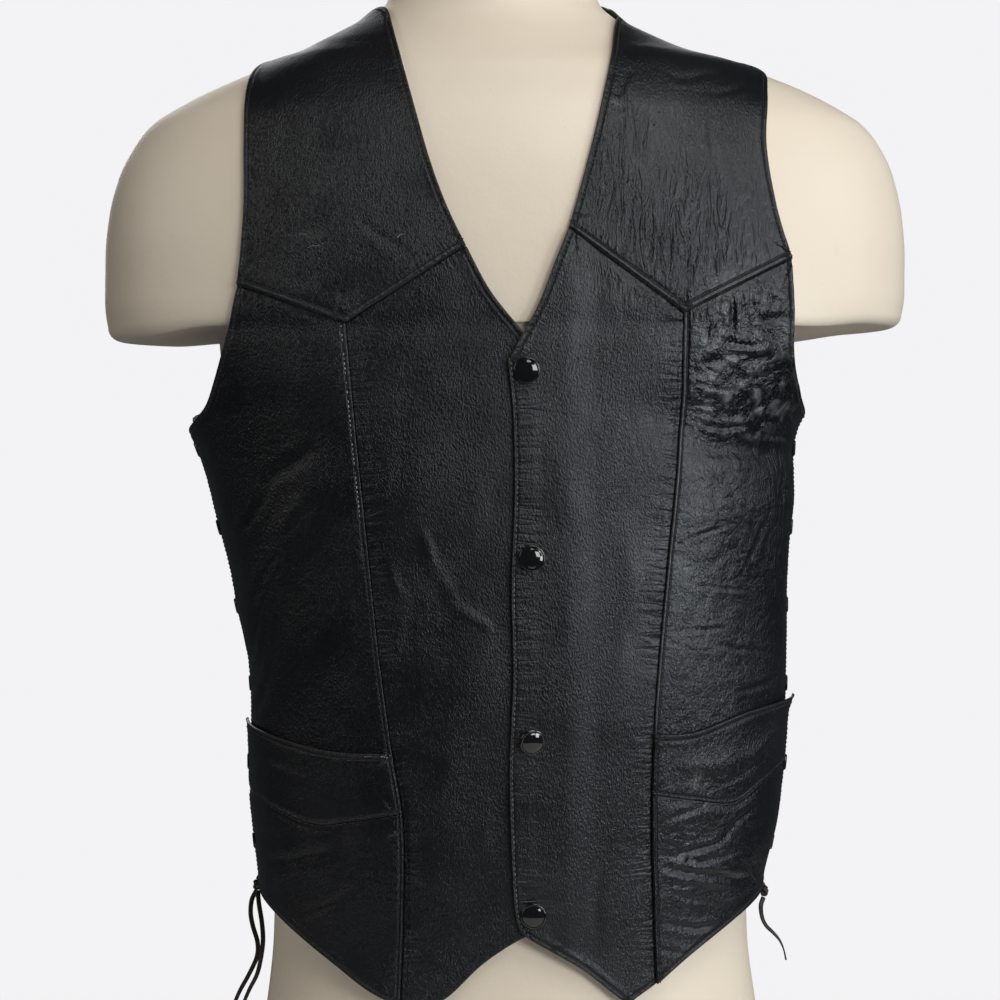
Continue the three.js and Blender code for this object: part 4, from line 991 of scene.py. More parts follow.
class Panel:
    # one piece of leather on its grid, with the distances to its edges
    def __init__(self, name, grid, inner, edges, lift=None, tucks=(), laps=()):
        self.name, self.grid, self.tucks, self.laps = name, grid, tucks, laps
        angle, level = grid[..., 0], grid[..., 1]
        self.base = drape.point(angle, level)
        self.normals = drape.normal(angle, level)
        self.inner = inner
        self.lift = np.zeros_like(level) if lift is None else lift(self.base)
        self.edges = edges
        self.distance, self.along = [], []
        shape = level.shape
        for edge in edges:
            spots = edge["curve"](np.linspace(0, 1, 500))
            points = drape.point(spots[:, 0], spots[:, 1])
            reach = np.concatenate([[0], np.cumsum(np.linalg.norm(np.diff(points, axis=0), axis=1))])
            tree = KDTree(len(points))
            for k, point in enumerate(points):
                tree.insert(point, k)
            tree.balance()
            found = [tree.find(point) for point in self.base.reshape(-1, 3)]
            self.distance.append(np.array([f[2] for f in found]).reshape(shape))
            self.along.append(reach[[f[1] for f in found]].reshape(shape))
        self.shapeIt()

    def shapeIt(self):
        base = self.base
        relief = reliefAt(base)
        crumple = amountOf("crumple", base)
        upright = amountOf("upright", base)
        cloth = laidFlat(self.grid[..., 0], self.grid[..., 1])
        u, v = cloth[..., 0], cloth[..., 1]
        soft = 0.55 * latticeNoise(u / 46, v / 62, 21) + 0.3 * latticeNoise(u / 19, v / 25, 22)
        swell = np.abs(latticeNoise(u / 12, v / 11, 31)) ** 0.8 * 1.5 - 0.5
        swell += 0.5 * np.abs(latticeNoise(u / 5.2 + 3, v / 5.2, 32)) ** 0.8 - 0.2
        tall = np.abs(latticeNoise(u / 5.5 + 1.2 * latticeNoise(u / 9, v / 14, 34), v / 26, 33)) ** 0.8 - 0.4
        relief = relief + soft + 0.5 * crumple * swell + 0.75 * upright * tall
        nearest = np.full(relief.shape, 1e9)
        puckerMost = np.zeros(relief.shape)
        flow = np.zeros(relief.shape + (3,))
        calm = np.ones(relief.shape)
        raw = np.zeros(relief.shape)
        edgeRelief = np.zeros(relief.shape)
        rubbed = np.zeros(relief.shape)
        stitchGap = np.full(relief.shape, 50.0)
        stitchRun = np.zeros(relief.shape)
        for k, edge in enumerate(self.edges):
            style = edgeStyles[edge["style"]]
            d, t = self.distance[k], self.along[k]
            nearest = np.minimum(nearest, d)
            if style.get("reach"):
                height = style["raise"] * (1 - smoothStep(d, style["reach"] * 0.6, style["reach"]))
                edgeRelief += height
                calm = np.minimum(calm, 0.25 + 0.75 * smoothStep(d, 1, style["reach"]))
            fade = edge["fade"](t / max(t.max(), 1)) if "fade" in edge else 1.0
            # a ridge's crest takes the rubbed colour: wear, and a painted highlight where the roll would
            # catch the light
            if style.get("ridge"):
                crest = fade * np.exp(-((d - style["ridgeAt"]) / style["ridgeWidth"]) ** 2)
                edgeRelief += style["ridge"] * crest
                rubbed = np.maximum(rubbed, style["rubbed"] * crest)
            elif style.get("rubbed"):
                rubbed = np.maximum(rubbed, style["rubbed"] * np.exp(-(d / 0.9) ** 2))
            if style.get("stitch"):
                beyond = d - style["stitch"]
                edgeRelief -= style["groove"] * np.exp(-(beyond / 0.7) ** 2)
                closer = np.abs(beyond) < np.abs(stitchGap)
                stitchGap[closer], stitchRun[closer] = beyond[closer], t[closer]
            if style.get("pucker"):
                uneven = 0.75 + 0.45 * latticeNoise(t / 19, t * 0 + k, 41)
                here = style["pucker"] * uneven * np.exp(-(d / style["puckerReach"]) ** 2)
                ripple = latticeNoise(t / 2.7, d / 14, 43 + k) * here
                edgeRelief += 0.24 * ripple * smoothStep(d, 0, 2)
                stronger = here > puckerMost
                flow[stronger] = np.stack([d, t + 1000 * k, np.zeros_like(d)], -1)[stronger]
                puckerMost = np.maximum(puckerMost, here)
            if style.get("raw"):
                raw = np.maximum(raw, style["raw"] * (1 - smoothStep(d, 0.3, 1.3)))
        relief = np.clip(relief * calm, -1.25, 4.0) + edgeRelief
        d = np.clip(nearest, 0, roundness)
        drop = roundness - np.sqrt(np.maximum(roundness ** 2 - (roundness - d) ** 2, 0))
        away = self.inner + wall + foldDepth(base) + self.lift + relief
        self.outer = base + self.normals * (away - drop)[..., None]
        back = np.maximum(away - thickness, np.minimum(self.inner - 0.75, away - 0.9))
        self.under = base + self.normals * (back + drop * 0.35)[..., None]
        for side in self.tucks:
            self.shiftBorder(side, tuckSettings["reach"], tuckSettings["drop"])
            pick = borders[side][0]
            self.under[pick] = self.outer[pick] - self.normals[pick] * tuckSettings["thickness"]
        for side in self.laps:
            self.shiftBorder(side, lapReach, 0.0)
        self.attributes = {
            "cloth": cloth * mm, "flow": flow * mm, "crumple": crumple * calm, "upright": upright * calm,
            "pucker": puckerMost, "rawEdge": raw, "shine": amountOf("shine", base) - amountOf("dull", base),
            "rubbed": rubbed, "scuff": amountOf("scuff", base),
            "stitchGap": stitchGap * mm, "stitchRun": stitchRun * mm,
        }

    def shiftBorder(self, side, reach, drop):
        # move a border outwards along the leather, and inwards by drop
        pick, inner = borders[side]
        move = unit(self.base[pick] - self.base[inner]) * reach - self.normals[pick] * drop
        self.outer[pick] = self.outer[pick] + move
        self.under[pick] = self.under[pick] + move

    def build(self, material):
        rows, width = self.base.shape[:2]
        points = np.vstack([self.outer.reshape(-1, 3), self.under.reshape(-1, 3)])
        at = np.arange(rows * width).reshape(rows, width)
        low = at + rows * width
        a, b, c, d = at[:-1, :-1], at[1:, :-1], at[1:, 1:], at[:-1, 1:]
        faces = [np.stack([a, b, c, d], -1).reshape(-1, 4)]
        a, b, c, d = (k + rows * width for k in (a, b, c, d))
        faces.append(np.stack([a, d, c, b], -1).reshape(-1, 4))
        for border, flip in ((at[0], False), (at[-1], True), (at[:, 0], True), (at[:, -1], False)):
            inside = border + rows * width
            quads = np.stack([border[:-1], border[1:], inside[1:], inside[:-1]], -1)
            faces.append(quads[:, ::-1] if flip else quads)
        faces = np.vstack(faces).tolist()
        doubled = {key: np.concatenate([v.reshape(rows * width, -1)] * 2).squeeze()
                   for key, v in self.attributes.items()}
        return meshPiece(self.name, points, faces, material, attributes=doubled)

    def lineAt(self, k, distance, rise=0.1):
        # the points of the outer face at a distance from edge k
        edge = self.edges[k]
        field = self.distance[k]
        outer = self.outer + self.normals * rise
        if edge["side"] in ("top", "bottom"):
            field, outer = field.T, outer.transpose(1, 0, 2)
        if edge["side"] in ("bottom", "right"):
            field, outer = field[:, ::-1], outer[:, ::-1]
        first, last = edge.get("span", (0, 1))
        rows = np.arange(len(field))
        share = rows / (len(field) - 1)
        points = []
        for j in rows[(share >= first) & (share <= last)]:
            i = int(np.argmax(field[j] >= distance))
            if i == 0:
                continue
            t = (distance - field[j, i - 1]) / (field[j, i] - field[j, i - 1])
            points.append(outer[j, i - 1] * (1 - t) + outer[j, i] * t)
        return np.array(points)

    def stitch(self, k, thread="black", lowest=0.0):
        points = self.lineAt(k, edgeStyles[self.edges[k]["style"]]["stitch"])
        kept = points[:, 2] > lowest
        for part, label in ((points[kept], thread), (points[~kept], "black")):
            if len(part) > 3:
                stitchLines[label].append(part)


def overlapLift(base):
    return (overlapFace - restGap) * (1 - smoothStep(base[..., 0], 31, 52))


def cornerLift(base):
    # the upper outer corner of the wearer's left pocket stands up
    return 2.6 * np.exp(-((base[..., 0] - 169) / 8) ** 2 - ((base[..., 2] - 333) / 9) ** 2)


cellSize = {"front": 1.3, "back": 2.7}
panels = {}


def frontPanels(name):
    edge, isRight = seams[name], name == "right"
    seamSide, freeSide = ("right", "left") if isRight else ("left", "right")
    princessFade = (lambda share: np.ones_like(share) * 0.12) if isRight else (
        lambda share: 1.0 - 0.65 * smoothStep(share, 0.25, 0.75))
    cutShare = runs["yokeOut"] / (runs["yokeOut"] + runs["yokeIn"])
    outerSpan = (0, cutShare) if isRight else (1 - cutShare, 1)
    innerSpan = (cutShare, 1) if isRight else (0, 1 - cutShare)
    yoke = Panel(f"yoke_{name}", yokeGrid(name, cellSize["front"]), restGap, [
        {"side": "bottom", "curve": edge["yokeOut"], "style": "rolled", "span": outerSpan},
        {"side": "bottom", "curve": edge["yokeIn"], "style": "rolled", "span": innerSpan},
        {"side": freeSide, "curve": edge["armHigh"], "style": "turned"},
        {"side": seamSide, "curve": edge["neckHigh"], "style": "rawNeck"},
        {"side": "top", "curve": edge["shoulder"], "style": "flat"},
    ], laps=["bottom"])
    for k in range(len(yoke.edges)):
        yoke.stitch(k)
    yokeShare = runs["yokeIn"] / (runs["yokeIn"] + runs["neckLow"])
    tipShare = runs["tip"] / (runs["tip"] + runs["hemIn"])
    centre = Panel(f"centre_front_{name}", centreGrid(name, cellSize["front"]), restGap, [
        {"side": "top", "curve": edge["yokeIn"], "style": "tucked"},
        {"side": "top", "curve": edge["neckLow"], "style": "rawNeck",
         "span": (yokeShare, 1) if isRight else (0, 1 - yokeShare)},
        {"side": freeSide if isRight else "right", "curve": edge["princess"], "style": "drawn"},
        {"side": seamSide if isRight else "left", "curve": edge["front"],
         "style": "hidden" if isRight else "placket"},
        {"side": "bottom", "curve": edge["hemIn"], "style": "turned",
         "span": (tipShare, 1) if isRight else (0, 1 - tipShare)},
        {"side": "bottom", "curve": edge["tip"], "style": "turned",
         "span": (0, tipShare) if isRight else (1 - tipShare, 1)},
    ], None if isRight else overlapLift, [freeSide if isRight else "right"])
    centre.stitch(1)
    if not isRight:
        centre.stitch(3, "grey")
    centre.stitch(4)
    centre.stitch(5)
    grids, crossings, armEnd = sideGrids(name, cellSize["front"])
    upper, band, skirt = grids
    joined = np.concatenate([upper, band[1:], skirt[1:]])
    side = Panel(f"side_front_{name}", joined, restGap, [
        {"side": "top", "curve": edge["yokeOut"], "style": "tucked"},
        {"side": freeSide, "curve": edge["armLow"], "style": "turned", "span": (0, armEnd)},
        {"side": seamSide, "curve": edge["princess"], "style": "piped", "fade": princessFade},
        {"side": freeSide, "curve": edge["side"], "style": "turned", "span": (armEnd, 1)},
        {"side": "bottom", "curve": edge["hemOut"], "style": "hidden"},
    ])
    side.stitch(1)
    side.stitch(2, "pale" if isRight else "black", 440)
    side.stitch(3)
    sideLevels, seamLevels = edge["sideLevels"], edge["princessLevels"]
    pieces = [yoke, centre, side]
    for k, grid, label in ((1, band, "pocket_strip"), (2, skirt, "pocket_front")):
        seamPart = between(edge["princess"], seamLevels[k], seamLevels[k + 1])
        freePart = between(edge["side"], sideLevels[k], sideLevels[k + 1])
        pocket = Panel(f"{label}_{name}", grid, overlapFace, [
            {"side": "top", "curve": crossings[k], "style": "pocketLip" if k == 1 else "tucked"},
            {"side": "bottom", "curve": crossings[k + 1], "style": "flat" if k == 1 else "turned"},
            {"side": seamSide, "curve": seamPart, "style": "flat"},
            {"side": freeSide, "curve": freePart, "style": "turned"},
        ], None if isRight else cornerLift)
        for e in range(4):
            if edgeStyles[pocket.edges[e]["style"]].get("stitch"):
                pocket.stitch(e)
        pieces.append(pocket)
    return pieces


for name in ("right", "left"):
    nodes = ("front_yoke", "front_centre", "front_side", "pocket_band", "pocket_panel")
    for panel, node in zip(frontPanels(name), nodes):
        panels[panel.name] = panel
        settle(panel.build(leather), "leather", f"{node}_{name}")
    print(f"fronts: {name} made")

backShare = np.cumsum([0, *runs["back"]]) / sum(runs["back"])
back = Panel("back", backGrid(cellSize["back"]), restGap, [
    {"side": "top", "curve": backNeck, "style": "turned"},
    {"side": "bottom", "curve": backHem, "style": "turned"},
    {"side": "left", "curve": seams["left"]["shoulder"], "style": "flat", "span": tuple(backShare[:2])},
    {"side": "left", "curve": seams["left"]["backArm"], "style": "turned", "span": tuple(backShare[1:3])},
    {"side": "left", "curve": seams["left"]["backSide"], "style": "turned", "span": tuple(backShare[2:])},
    {"side": "right", "curve": seams["right"]["shoulder"], "style": "flat", "span": tuple(backShare[:2])},
    {"side": "right", "curve": seams["right"]["backArm"], "style": "turned", "span": tuple(backShare[1:3])},
    {"side": "right", "curve": seams["right"]["backSide"], "style": "turned", "span": tuple(backShare[2:])},
])
for k in range(len(back.edges)):
    back.stitch(k)
panels["back"] = back
settle(back.build(leather), "leather", "back_panel")
print("back made")


# Stitching: Geometry Nodes set a short thread, sunk at both ends, along each line

def threadTree(name):
    tree = bpy.data.node_groups.new(name, "GeometryNodeTree")
    face = tree.interface
    face.new_socket("Geometry", in_out="INPUT", socket_type="NodeSocketGeometry")
    for label, value in (("Pitch", 0.0026), ("Stitch Length", 0.0021), ("Thread Radius", 0.0003),
                         ("Kept", 1.0)):
        face.new_socket(label, in_out="INPUT", socket_type="NodeSocketFloat").default_value = value
    face.new_socket("Seed", in_out="INPUT", socket_type="NodeSocketInt").default_value = 1
    face.new_socket("Thread", in_out="INPUT", socket_type="NodeSocketMaterial")
    face.new_socket("Geometry", in_out="OUTPUT", socket_type="NodeSocketGeometry")
    nodes, links = tree.nodes, tree.links

    def node(kind, settings=None, sockets=None):
        made = nodes.new(kind)
        for key, value in (settings or {}).items():
            setattr(made, key, value)
        for key, value in (sockets or {}).items():
            if isinstance(value, bpy.types.NodeSocket):
                links.new(value, made.inputs[key])
            else:
                made.inputs[key].default_value = value
        return made
    given = node("NodeGroupInput").outputs
    curve = node("GeometryNodeMeshToCurve", {}, {"Mesh": given["Geometry"]}).outputs["Curve"]
    spots = node("GeometryNodeCurveToPoints", {"mode": "LENGTH"}, {"Curve": curve, "Length": given["Pitch"]})
    chance = node("FunctionNodeRandomValue", {"data_type": "FLOAT"}, {"Seed": given["Seed"]})
    lost = node("FunctionNodeCompare", {"data_type": "FLOAT", "operation": "GREATER_THAN"},
                {"A": chance.outputs["Value"], "B": given["Kept"]})
    left = node("GeometryNodeDeleteGeometry", {"domain": "POINT"},
                {"Geometry": spots.outputs["Points"], "Selection": lost.outputs["Result"]})
    turn = node("FunctionNodeAlignRotationToVector", {"axis": "X"}, {"Vector": spots.outputs["Tangent"]})
    uneven = node("FunctionNodeRandomValue", {"data_type": "FLOAT"}, {"Seed": given["Seed"]})
    uneven.inputs[2].default_value, uneven.inputs[3].default_value = 0.82, 1.1
    half = node("ShaderNodeMath", {"operation": "MULTIPLY"}, {0: given["Stitch Length"], 1: 0.5})
    longer = node("ShaderNodeMath", {"operation": "MULTIPLY"},
                  {0: half.outputs[0], 1: uneven.outputs["Value"]})
    size = node("ShaderNodeCombineXYZ", {}, {"X": longer.outputs[0], "Y": given["Thread Radius"],
                                              "Z": given["Thread Radius"]})
    ball = node("GeometryNodeMeshUVSphere", {}, {"Segments": 6, "Rings": 4, "Radius": 1.0})
    thread = node("GeometryNodeInstanceOnPoints", {}, {
        "Points": left.outputs["Geometry"], "Instance": ball.outputs["Mesh"],
        "Rotation": turn.outputs["Rotation"], "Scale": size.outputs["Vector"]})
    solid = node("GeometryNodeRealizeInstances", {}, {"Geometry": thread.outputs["Instances"]})
    done = node("GeometryNodeSetMaterial", {}, {"Geometry": solid.outputs["Geometry"],
                                                 "Material": given["Thread"]})
    links.new(done.outputs["Geometry"], node("NodeGroupOutput").inputs["Geometry"])
    return tree


threads = threadTree("thread_along_line")


def sewn(name, lines, material, **inputs):
    mesh = bpy.data.meshes.new(name)
    points = np.vstack(lines) * mm
    edges, start = [], 0
    for one in lines:
        edges += [(start + k, start + k + 1) for k in range(len(one) - 1)]
        start += len(one)
    mesh.from_pydata(points.tolist(), edges, [])
    maker = bpy.data.objects.new(name + "_line", mesh)
    scene.collection.objects.link(maker)
    modifier = maker.modifiers.new("threads", "NODES")
    modifier.node_group = threads
    sockets = {item.name: item.identifier for item in threads.interface.items_tree
               if item.in_out == "INPUT"}
    for label, value in {**inputs, "Thread": material}.items():
        modifier[sockets[label.replace("_", " ")]] = value
    graph = bpy.context.evaluated_depsgraph_get()
    made = bpy.data.meshes.new_from_object(maker.evaluated_get(graph), depsgraph=graph)
    made.name = name
    bpy.data.objects.remove(maker)
    made.polygons.foreach_set("use_smooth", [True] * len(made.polygons))
    piece = bpy.data.objects.new(name, made)
    scene.collection.objects.link(piece)
    return piece


sewing = {
    "black": {"Pitch": 0.0027, "Stitch_Length": 0.0022, "Thread_Radius": 0.00032, "Seed": 5},
    "grey": {"Pitch": 0.0031, "Stitch_Length": 0.0023, "Thread_Radius": 0.00036, "Seed": 6},
    "pale": {"Pitch": 0.0027, "Stitch_Length": 0.0018, "Thread_Radius": 0.00034, "Seed": 8, "Kept": 0.84},
    "marks": {"Pitch": 0.0021, "Stitch_Length": 0.0013, "Thread_Radius": 0.00016, "Seed": 3, "Kept": 0.78},
    "bits": {"Pitch": 0.0012, "Stitch_Length": 0.0017, "Thread_Radius": 0.00030, "Seed": 4},
}
settle(sewn("stitching", stitchLines["black"], blackThread, **sewing["black"]), "leather")
settle(sewn("stitching_worn", stitchLines["pale"], paleThread, **sewing["pale"]), "leather")
settle(sewn("stitching_placket", stitchLines["grey"], greyThread, **sewing["grey"]), "leather")
print("stitching made:", sum(len(lines) for lines in stitchLines.values()), "lines")


# Marks of wear, as (x, level) on the fronts: rows of needle marks where a patch was, loose bits of thread
# and pin holes, drawn as near-black discs of painted shade

marks = {
    "needleRows": {"yoke_right": [
        [(-144.6, 611), (-96.8, 615.6), (-68.8, 619.7), (-48.4, 622.2)],
        [(-45.5, 624), (-44.6, 612), (-44.3, 600.4)], [(-47.2, 622), (-46.4, 611), (-46, 602)],
        [(-142.3, 588), (-131, 592.4), (-119, 595.8), (-106.7, 597), (-96.8, 597.4)],
        [(-73, 599), (-62.4, 601.6), (-52.5, 602.7), (-46, 603.2)], [(-144.6, 602), (-144.4, 586)],
    ]},
    "bits": {"yoke_right": [[(-116, 595.6), (-113.5, 596.6), (-110.6, 596.6)], [(-110, 597), (-107.5, 597.6)],
                            [(-64.2, 600.8), (-62.6, 602.4), (-60.8, 602.4)]],
             "pocket_strip_right": [[(-83.5, 301.4), (-80.6, 301.8)], [(-73.6, 301.8), (-70.8, 301.4)]]},
    "holes": {"yoke_left": [(87.2, 676), (104.8, 662), (125.3, 666.6), (90.4, 625.5), (105.5, 622.6),
                            (103.2, 593.4), (84, 668), (120, 640)]},
    "holeRadius": 0.62,
}


def onLeather(panel, spots, rise):
    # the outer face of a panel at (x, level) as seen from the front, and the way out of it
    outer, normals = panel.outer.reshape(-1, 3), panel.normals.reshape(-1, 3)
    tree = KDTree(len(outer))
    for k, (x, _, z) in enumerate(outer):
        tree.insert((x, z, 0), k)
    tree.balance()
    points, outs = [], []
    for x, level in spots:
        near = tree.find_n((x, level, 0), 4)
        share = np.array([1 / (gap + 0.05) for _, _, gap in near])
        share /= share.sum()
        picked = [k for _, k, _ in near]
        out = unit(share @ normals[picked])
        points.append(share @ outer[picked] + out * rise)
        outs.append(out)
    return np.array(points), np.array(outs)


def markLines(kind, rise, steps):
    lines = []
    for name, rows in marks[kind].items():
        for row in rows:
            along, _ = smoothPath([(x, level, 0) for x, level in row], steps)
            lines.append(onLeather(panels[name], along[:, :2], rise)[0])
    return lines


# each pin hole is a short near-black plug on the leather: painted shade where the hole is
def pinHoles():
    points, faces = [], []
    turn = np.linspace(0, 2 * np.pi, 10, endpoint=False)
    for name, spots in marks["holes"].items():
        for spot, out in zip(*onLeather(panels[name], spots, 0.12)):
            side = unit(np.cross(out, (0, 0, 1)))
            up = np.cross(side, out)
            start = len(points)
            for radius, sunk in ((1.0, -0.5), (1.0, 0.0), (0.6, 0.06)):
                points += list(spot + marks["holeRadius"] * radius
                               * (np.cos(turn)[:, None] * side + np.sin(turn)[:, None] * up) + out * sunk)
            for j in range(2):
                for i in range(10):
                    k = (i + 1) % 10
                    a, b = start + j * 10, start + (j + 1) * 10
                    faces.append((a + k, a + i, b + i, b + k))
            faces.append(tuple(start + i for i in range(10)))
            faces.append(tuple(start + 20 + i for i in reversed(range(10))))
    return np.array(points), faces


settle(sewn("needle_marks", markLines("needleRows", 0.02, 60), dustyThread, **sewing["marks"]), "leather")
settle(sewn("thread_bits", markLines("bits", 0.12, 8), paleThread, **sewing["bits"]), "leather")
settle(meshPiece("pin_hole_shade_discs", *pinHoles(), holeShade), "leather")


# Round pieces set on the leather

def leatherSpot(place, offset):
    angle, level = np.array([place[0]]), np.array([place[1]])
    base, out = drape.point(angle, level), drape.normal(angle, level)
    return (base + out * (offset + foldDepth(base))[:, None])[0], out[0]


def sideAndUp(out):
    side = out.cross(Vector((0, 0, 1))).normalized()
    return side, side.cross(out).normalized()


def spun(profile, segments, place, out, lean=(0, 0)):
    # a profile of (radius, height) turned about a line through place
    out = Vector(out)
    side, up = sideAndUp(out)
    out = (out + side * lean[0] + up * lean[1]).normalized()
    side, up, out = (np.array(v) for v in (*sideAndUp(out), out))
    turn = np.linspace(0, 2 * np.pi, segments, endpoint=False)
    ring = np.cos(turn)[:, None] * side + np.sin(turn)[:, None] * up
    rows = [place + r * ring + h * out for r, h in profile]
    points = np.vstack(rows)
    faces = []
    closed = profile[0] == profile[-1]
    count = len(profile) - 1 if closed else len(profile)
    for j in range(count if closed else count - 1):
        for i in range(segments):
            a, b = j * segments, ((j + 1) % count) * segments
            k = (i + 1) % segments
            faces.append((a + i, b + i, b + k, a + k))
    if not closed:
        faces.append(tuple(range(segments)))
        faces.append(tuple(reversed(range((count - 1) * segments, count * segments))))
    return points[:count * segments], [f[::-1] for f in faces]


snapSettings = {
    "spots": [(10, 524), (13, 417), (13, 312), (14, 211)],
    "lean": [(0.05, -0.03), (-0.04, 0.02), (-0.30, -0.22), (0.06, -0.04)],
    "cap": [(0.001, -0.6), (6.9, -0.6), (7.35, 0.0), (7.6, 0.7), (7.62, 1.2), (7.42, 1.7), (7.05, 1.95),
            (6.65, 1.95), (6.3, 1.85), (5.9, 1.95), (5.2, 2.3), (4.0, 2.7), (2.6, 2.95), (1.3, 3.06),
            (0.001, 3.1)],
    "segments": 48,
}
for k, ((x, level), lean) in enumerate(zip(snapSettings["spots"], snapSettings["lean"])):
    spot, out = leatherSpot(frontAt(x, level), overlapFace + wall + 0.55)
    points, faces = spun(snapSettings["cap"], snapSettings["segments"], spot, out, lean)
    settle(meshPiece(f"snap_cap_{k + 1}", points, faces, snapEnamel), "snap_cap", f"snap_{k + 1}")

eyeletSettings = {
    "top": 482, "step": 48, "count": 6, "inset": 10, "segments": 24,
    "rim": [(2.7, -0.9), (2.7, 0.1), (2.95, 0.45), (3.4, 0.6), (4.0, 0.55), (4.55, 0.3), (4.9, -0.15),
            (5.0, -0.6), (4.9, -0.9), (2.7, -0.9)],
}


def eyeletPlace(side, face, k):
    e = eyeletSettings
    y = sideEdge["front"] - e["inset"] if face == "front" else sideEdge["back"] + e["inset"]
    return sideAt(side, y, e["top"] - k * e["step"])


for name, side in (("right", -1), ("left", 1)):
    for face in ("front", "back"):
        for k in range(eyeletSettings["count"]):
            place = eyeletPlace(side, face, k)
            onPocket = face == "front" and place[1] < seams[name]["sideLevels"][1]
            rise = (overlapFace + wall if onPocket else outerFace) + 0.55
            spot, out = leatherSpot(place, rise)
            points, faces = spun(eyeletSettings["rim"], eyeletSettings["segments"], spot, out)
            label = f"eyelet_{face}_{name}_{k + 1}"
            settle(meshPiece("ring_" + label, points, faces, eyeletMetal), "eyelet_metal", label)
print("snaps and eyelets made")


# The held laces and their knots

laceSettings = {
    "width": 3.0, "thickness": 1.5, "under": -1.8, "low": -3.6, "high": -0.2, "gapHeight": 17, "apart": 1.6,
    "knots": {"right": (-156, -1, 212), "left": (158.4, -1.4, 208)}, "knotRadius": 4,
    "turns": (2.9, 3.2, 2.9), "turnWidth": 2.5, "smoothing": 14, "steps": 380,
}


def lacingPoints(side, knot):
    s = laceSettings
    x, y, z = knot
    points, outs = [], []

    def add(place, offset):
        spot, out = leatherSpot(place, offset)
        points.append(spot)
        outs.append(out)

    def intoKnot(apart):
        spot, out = leatherSpot(sideAt(side, y + apart, z + s["gapHeight"]), s["under"])
        top = np.array([x, y + apart, z + s["knotRadius"] - 0.6])
        return [(top, np.array([side, 0.0, 0.0])), (spot, out)]

    count, step = eyeletSettings["count"], eyeletSettings["step"]
    faces = ("front", "back")
    for spot, out in intoKnot(-s["apart"]):
        points.append(spot)
        outs.append(out)
    for k in range(count - 1, -1, -1):
        add(eyeletPlace(side, faces[(count - 1 - k) % 2], k), s["under"])
        if k > 0:
            add(sideAt(side, 1, eyeletSettings["top"] - k * step + step / 2), s["low"])
    add(sideAt(side, 1, eyeletSettings["top"] + 2), s["under"])
    for k in range(count):
        add(eyeletPlace(side, faces[(count - k) % 2], k), s["under"])
        if k < count - 1:
            add(sideAt(side, 1, eyeletSettings["top"] - k * step - step / 2), s["high"])
    for spot, out in reversed(intoKnot(s["apart"])):
        points.append(spot)
        outs.append(out)
    return np.array(points), np.array(outs)


for name, side in (("right", -1), ("left", 1)):
    knot = laceSettings["knots"][name]
    points, outs = lacingPoints(side, knot)
    path, _ = smoothPath(points, laceSettings["steps"])
    nearest = [int(np.argmin(np.linalg.norm(points - p, axis=1))) for p in path]
    facing = outs[nearest]
    for _ in range(laceSettings["smoothing"]):
        facing[1:-1] = (facing[:-2] + facing[1:-1] + facing[2:]) / 3
    points, faces = thongMesh(path, facing, laceSettings["width"], laceSettings["thickness"])
    settle(meshPiece(f"lacing_{name}", points, faces, thong), "thong", f"side_lacing_{name}")
    t = np.linspace(0, 2 * np.pi, 120)
    loop = np.stack([(np.sin(t) + 2 * np.sin(2 * t)) / 3, (np.cos(t) - 2 * np.cos(2 * t)) / 3,
                     -np.sin(3 * t) * 0.42], -1)
    loop = np.array(knot) + loop[:, [2, 0, 1]] * laceSettings["turns"]
    facing = unit(loop - np.array(knot))
    points, faces = thongMesh(loop, facing, laceSettings["turnWidth"], laceSettings["thickness"])
    settle(meshPiece(f"lace_knot_turns_{name}", points, faces, thong), "thong", f"lace_knot_{name}")
print("laces made")


# The torso form

formSettings = {"around": 176, "rim": 8.0, "rimSteps": 7, "slope": 0.017, "baseRound": 3.0,
                "cut": 552.0, "topRound": 823, "neckShift": -10}


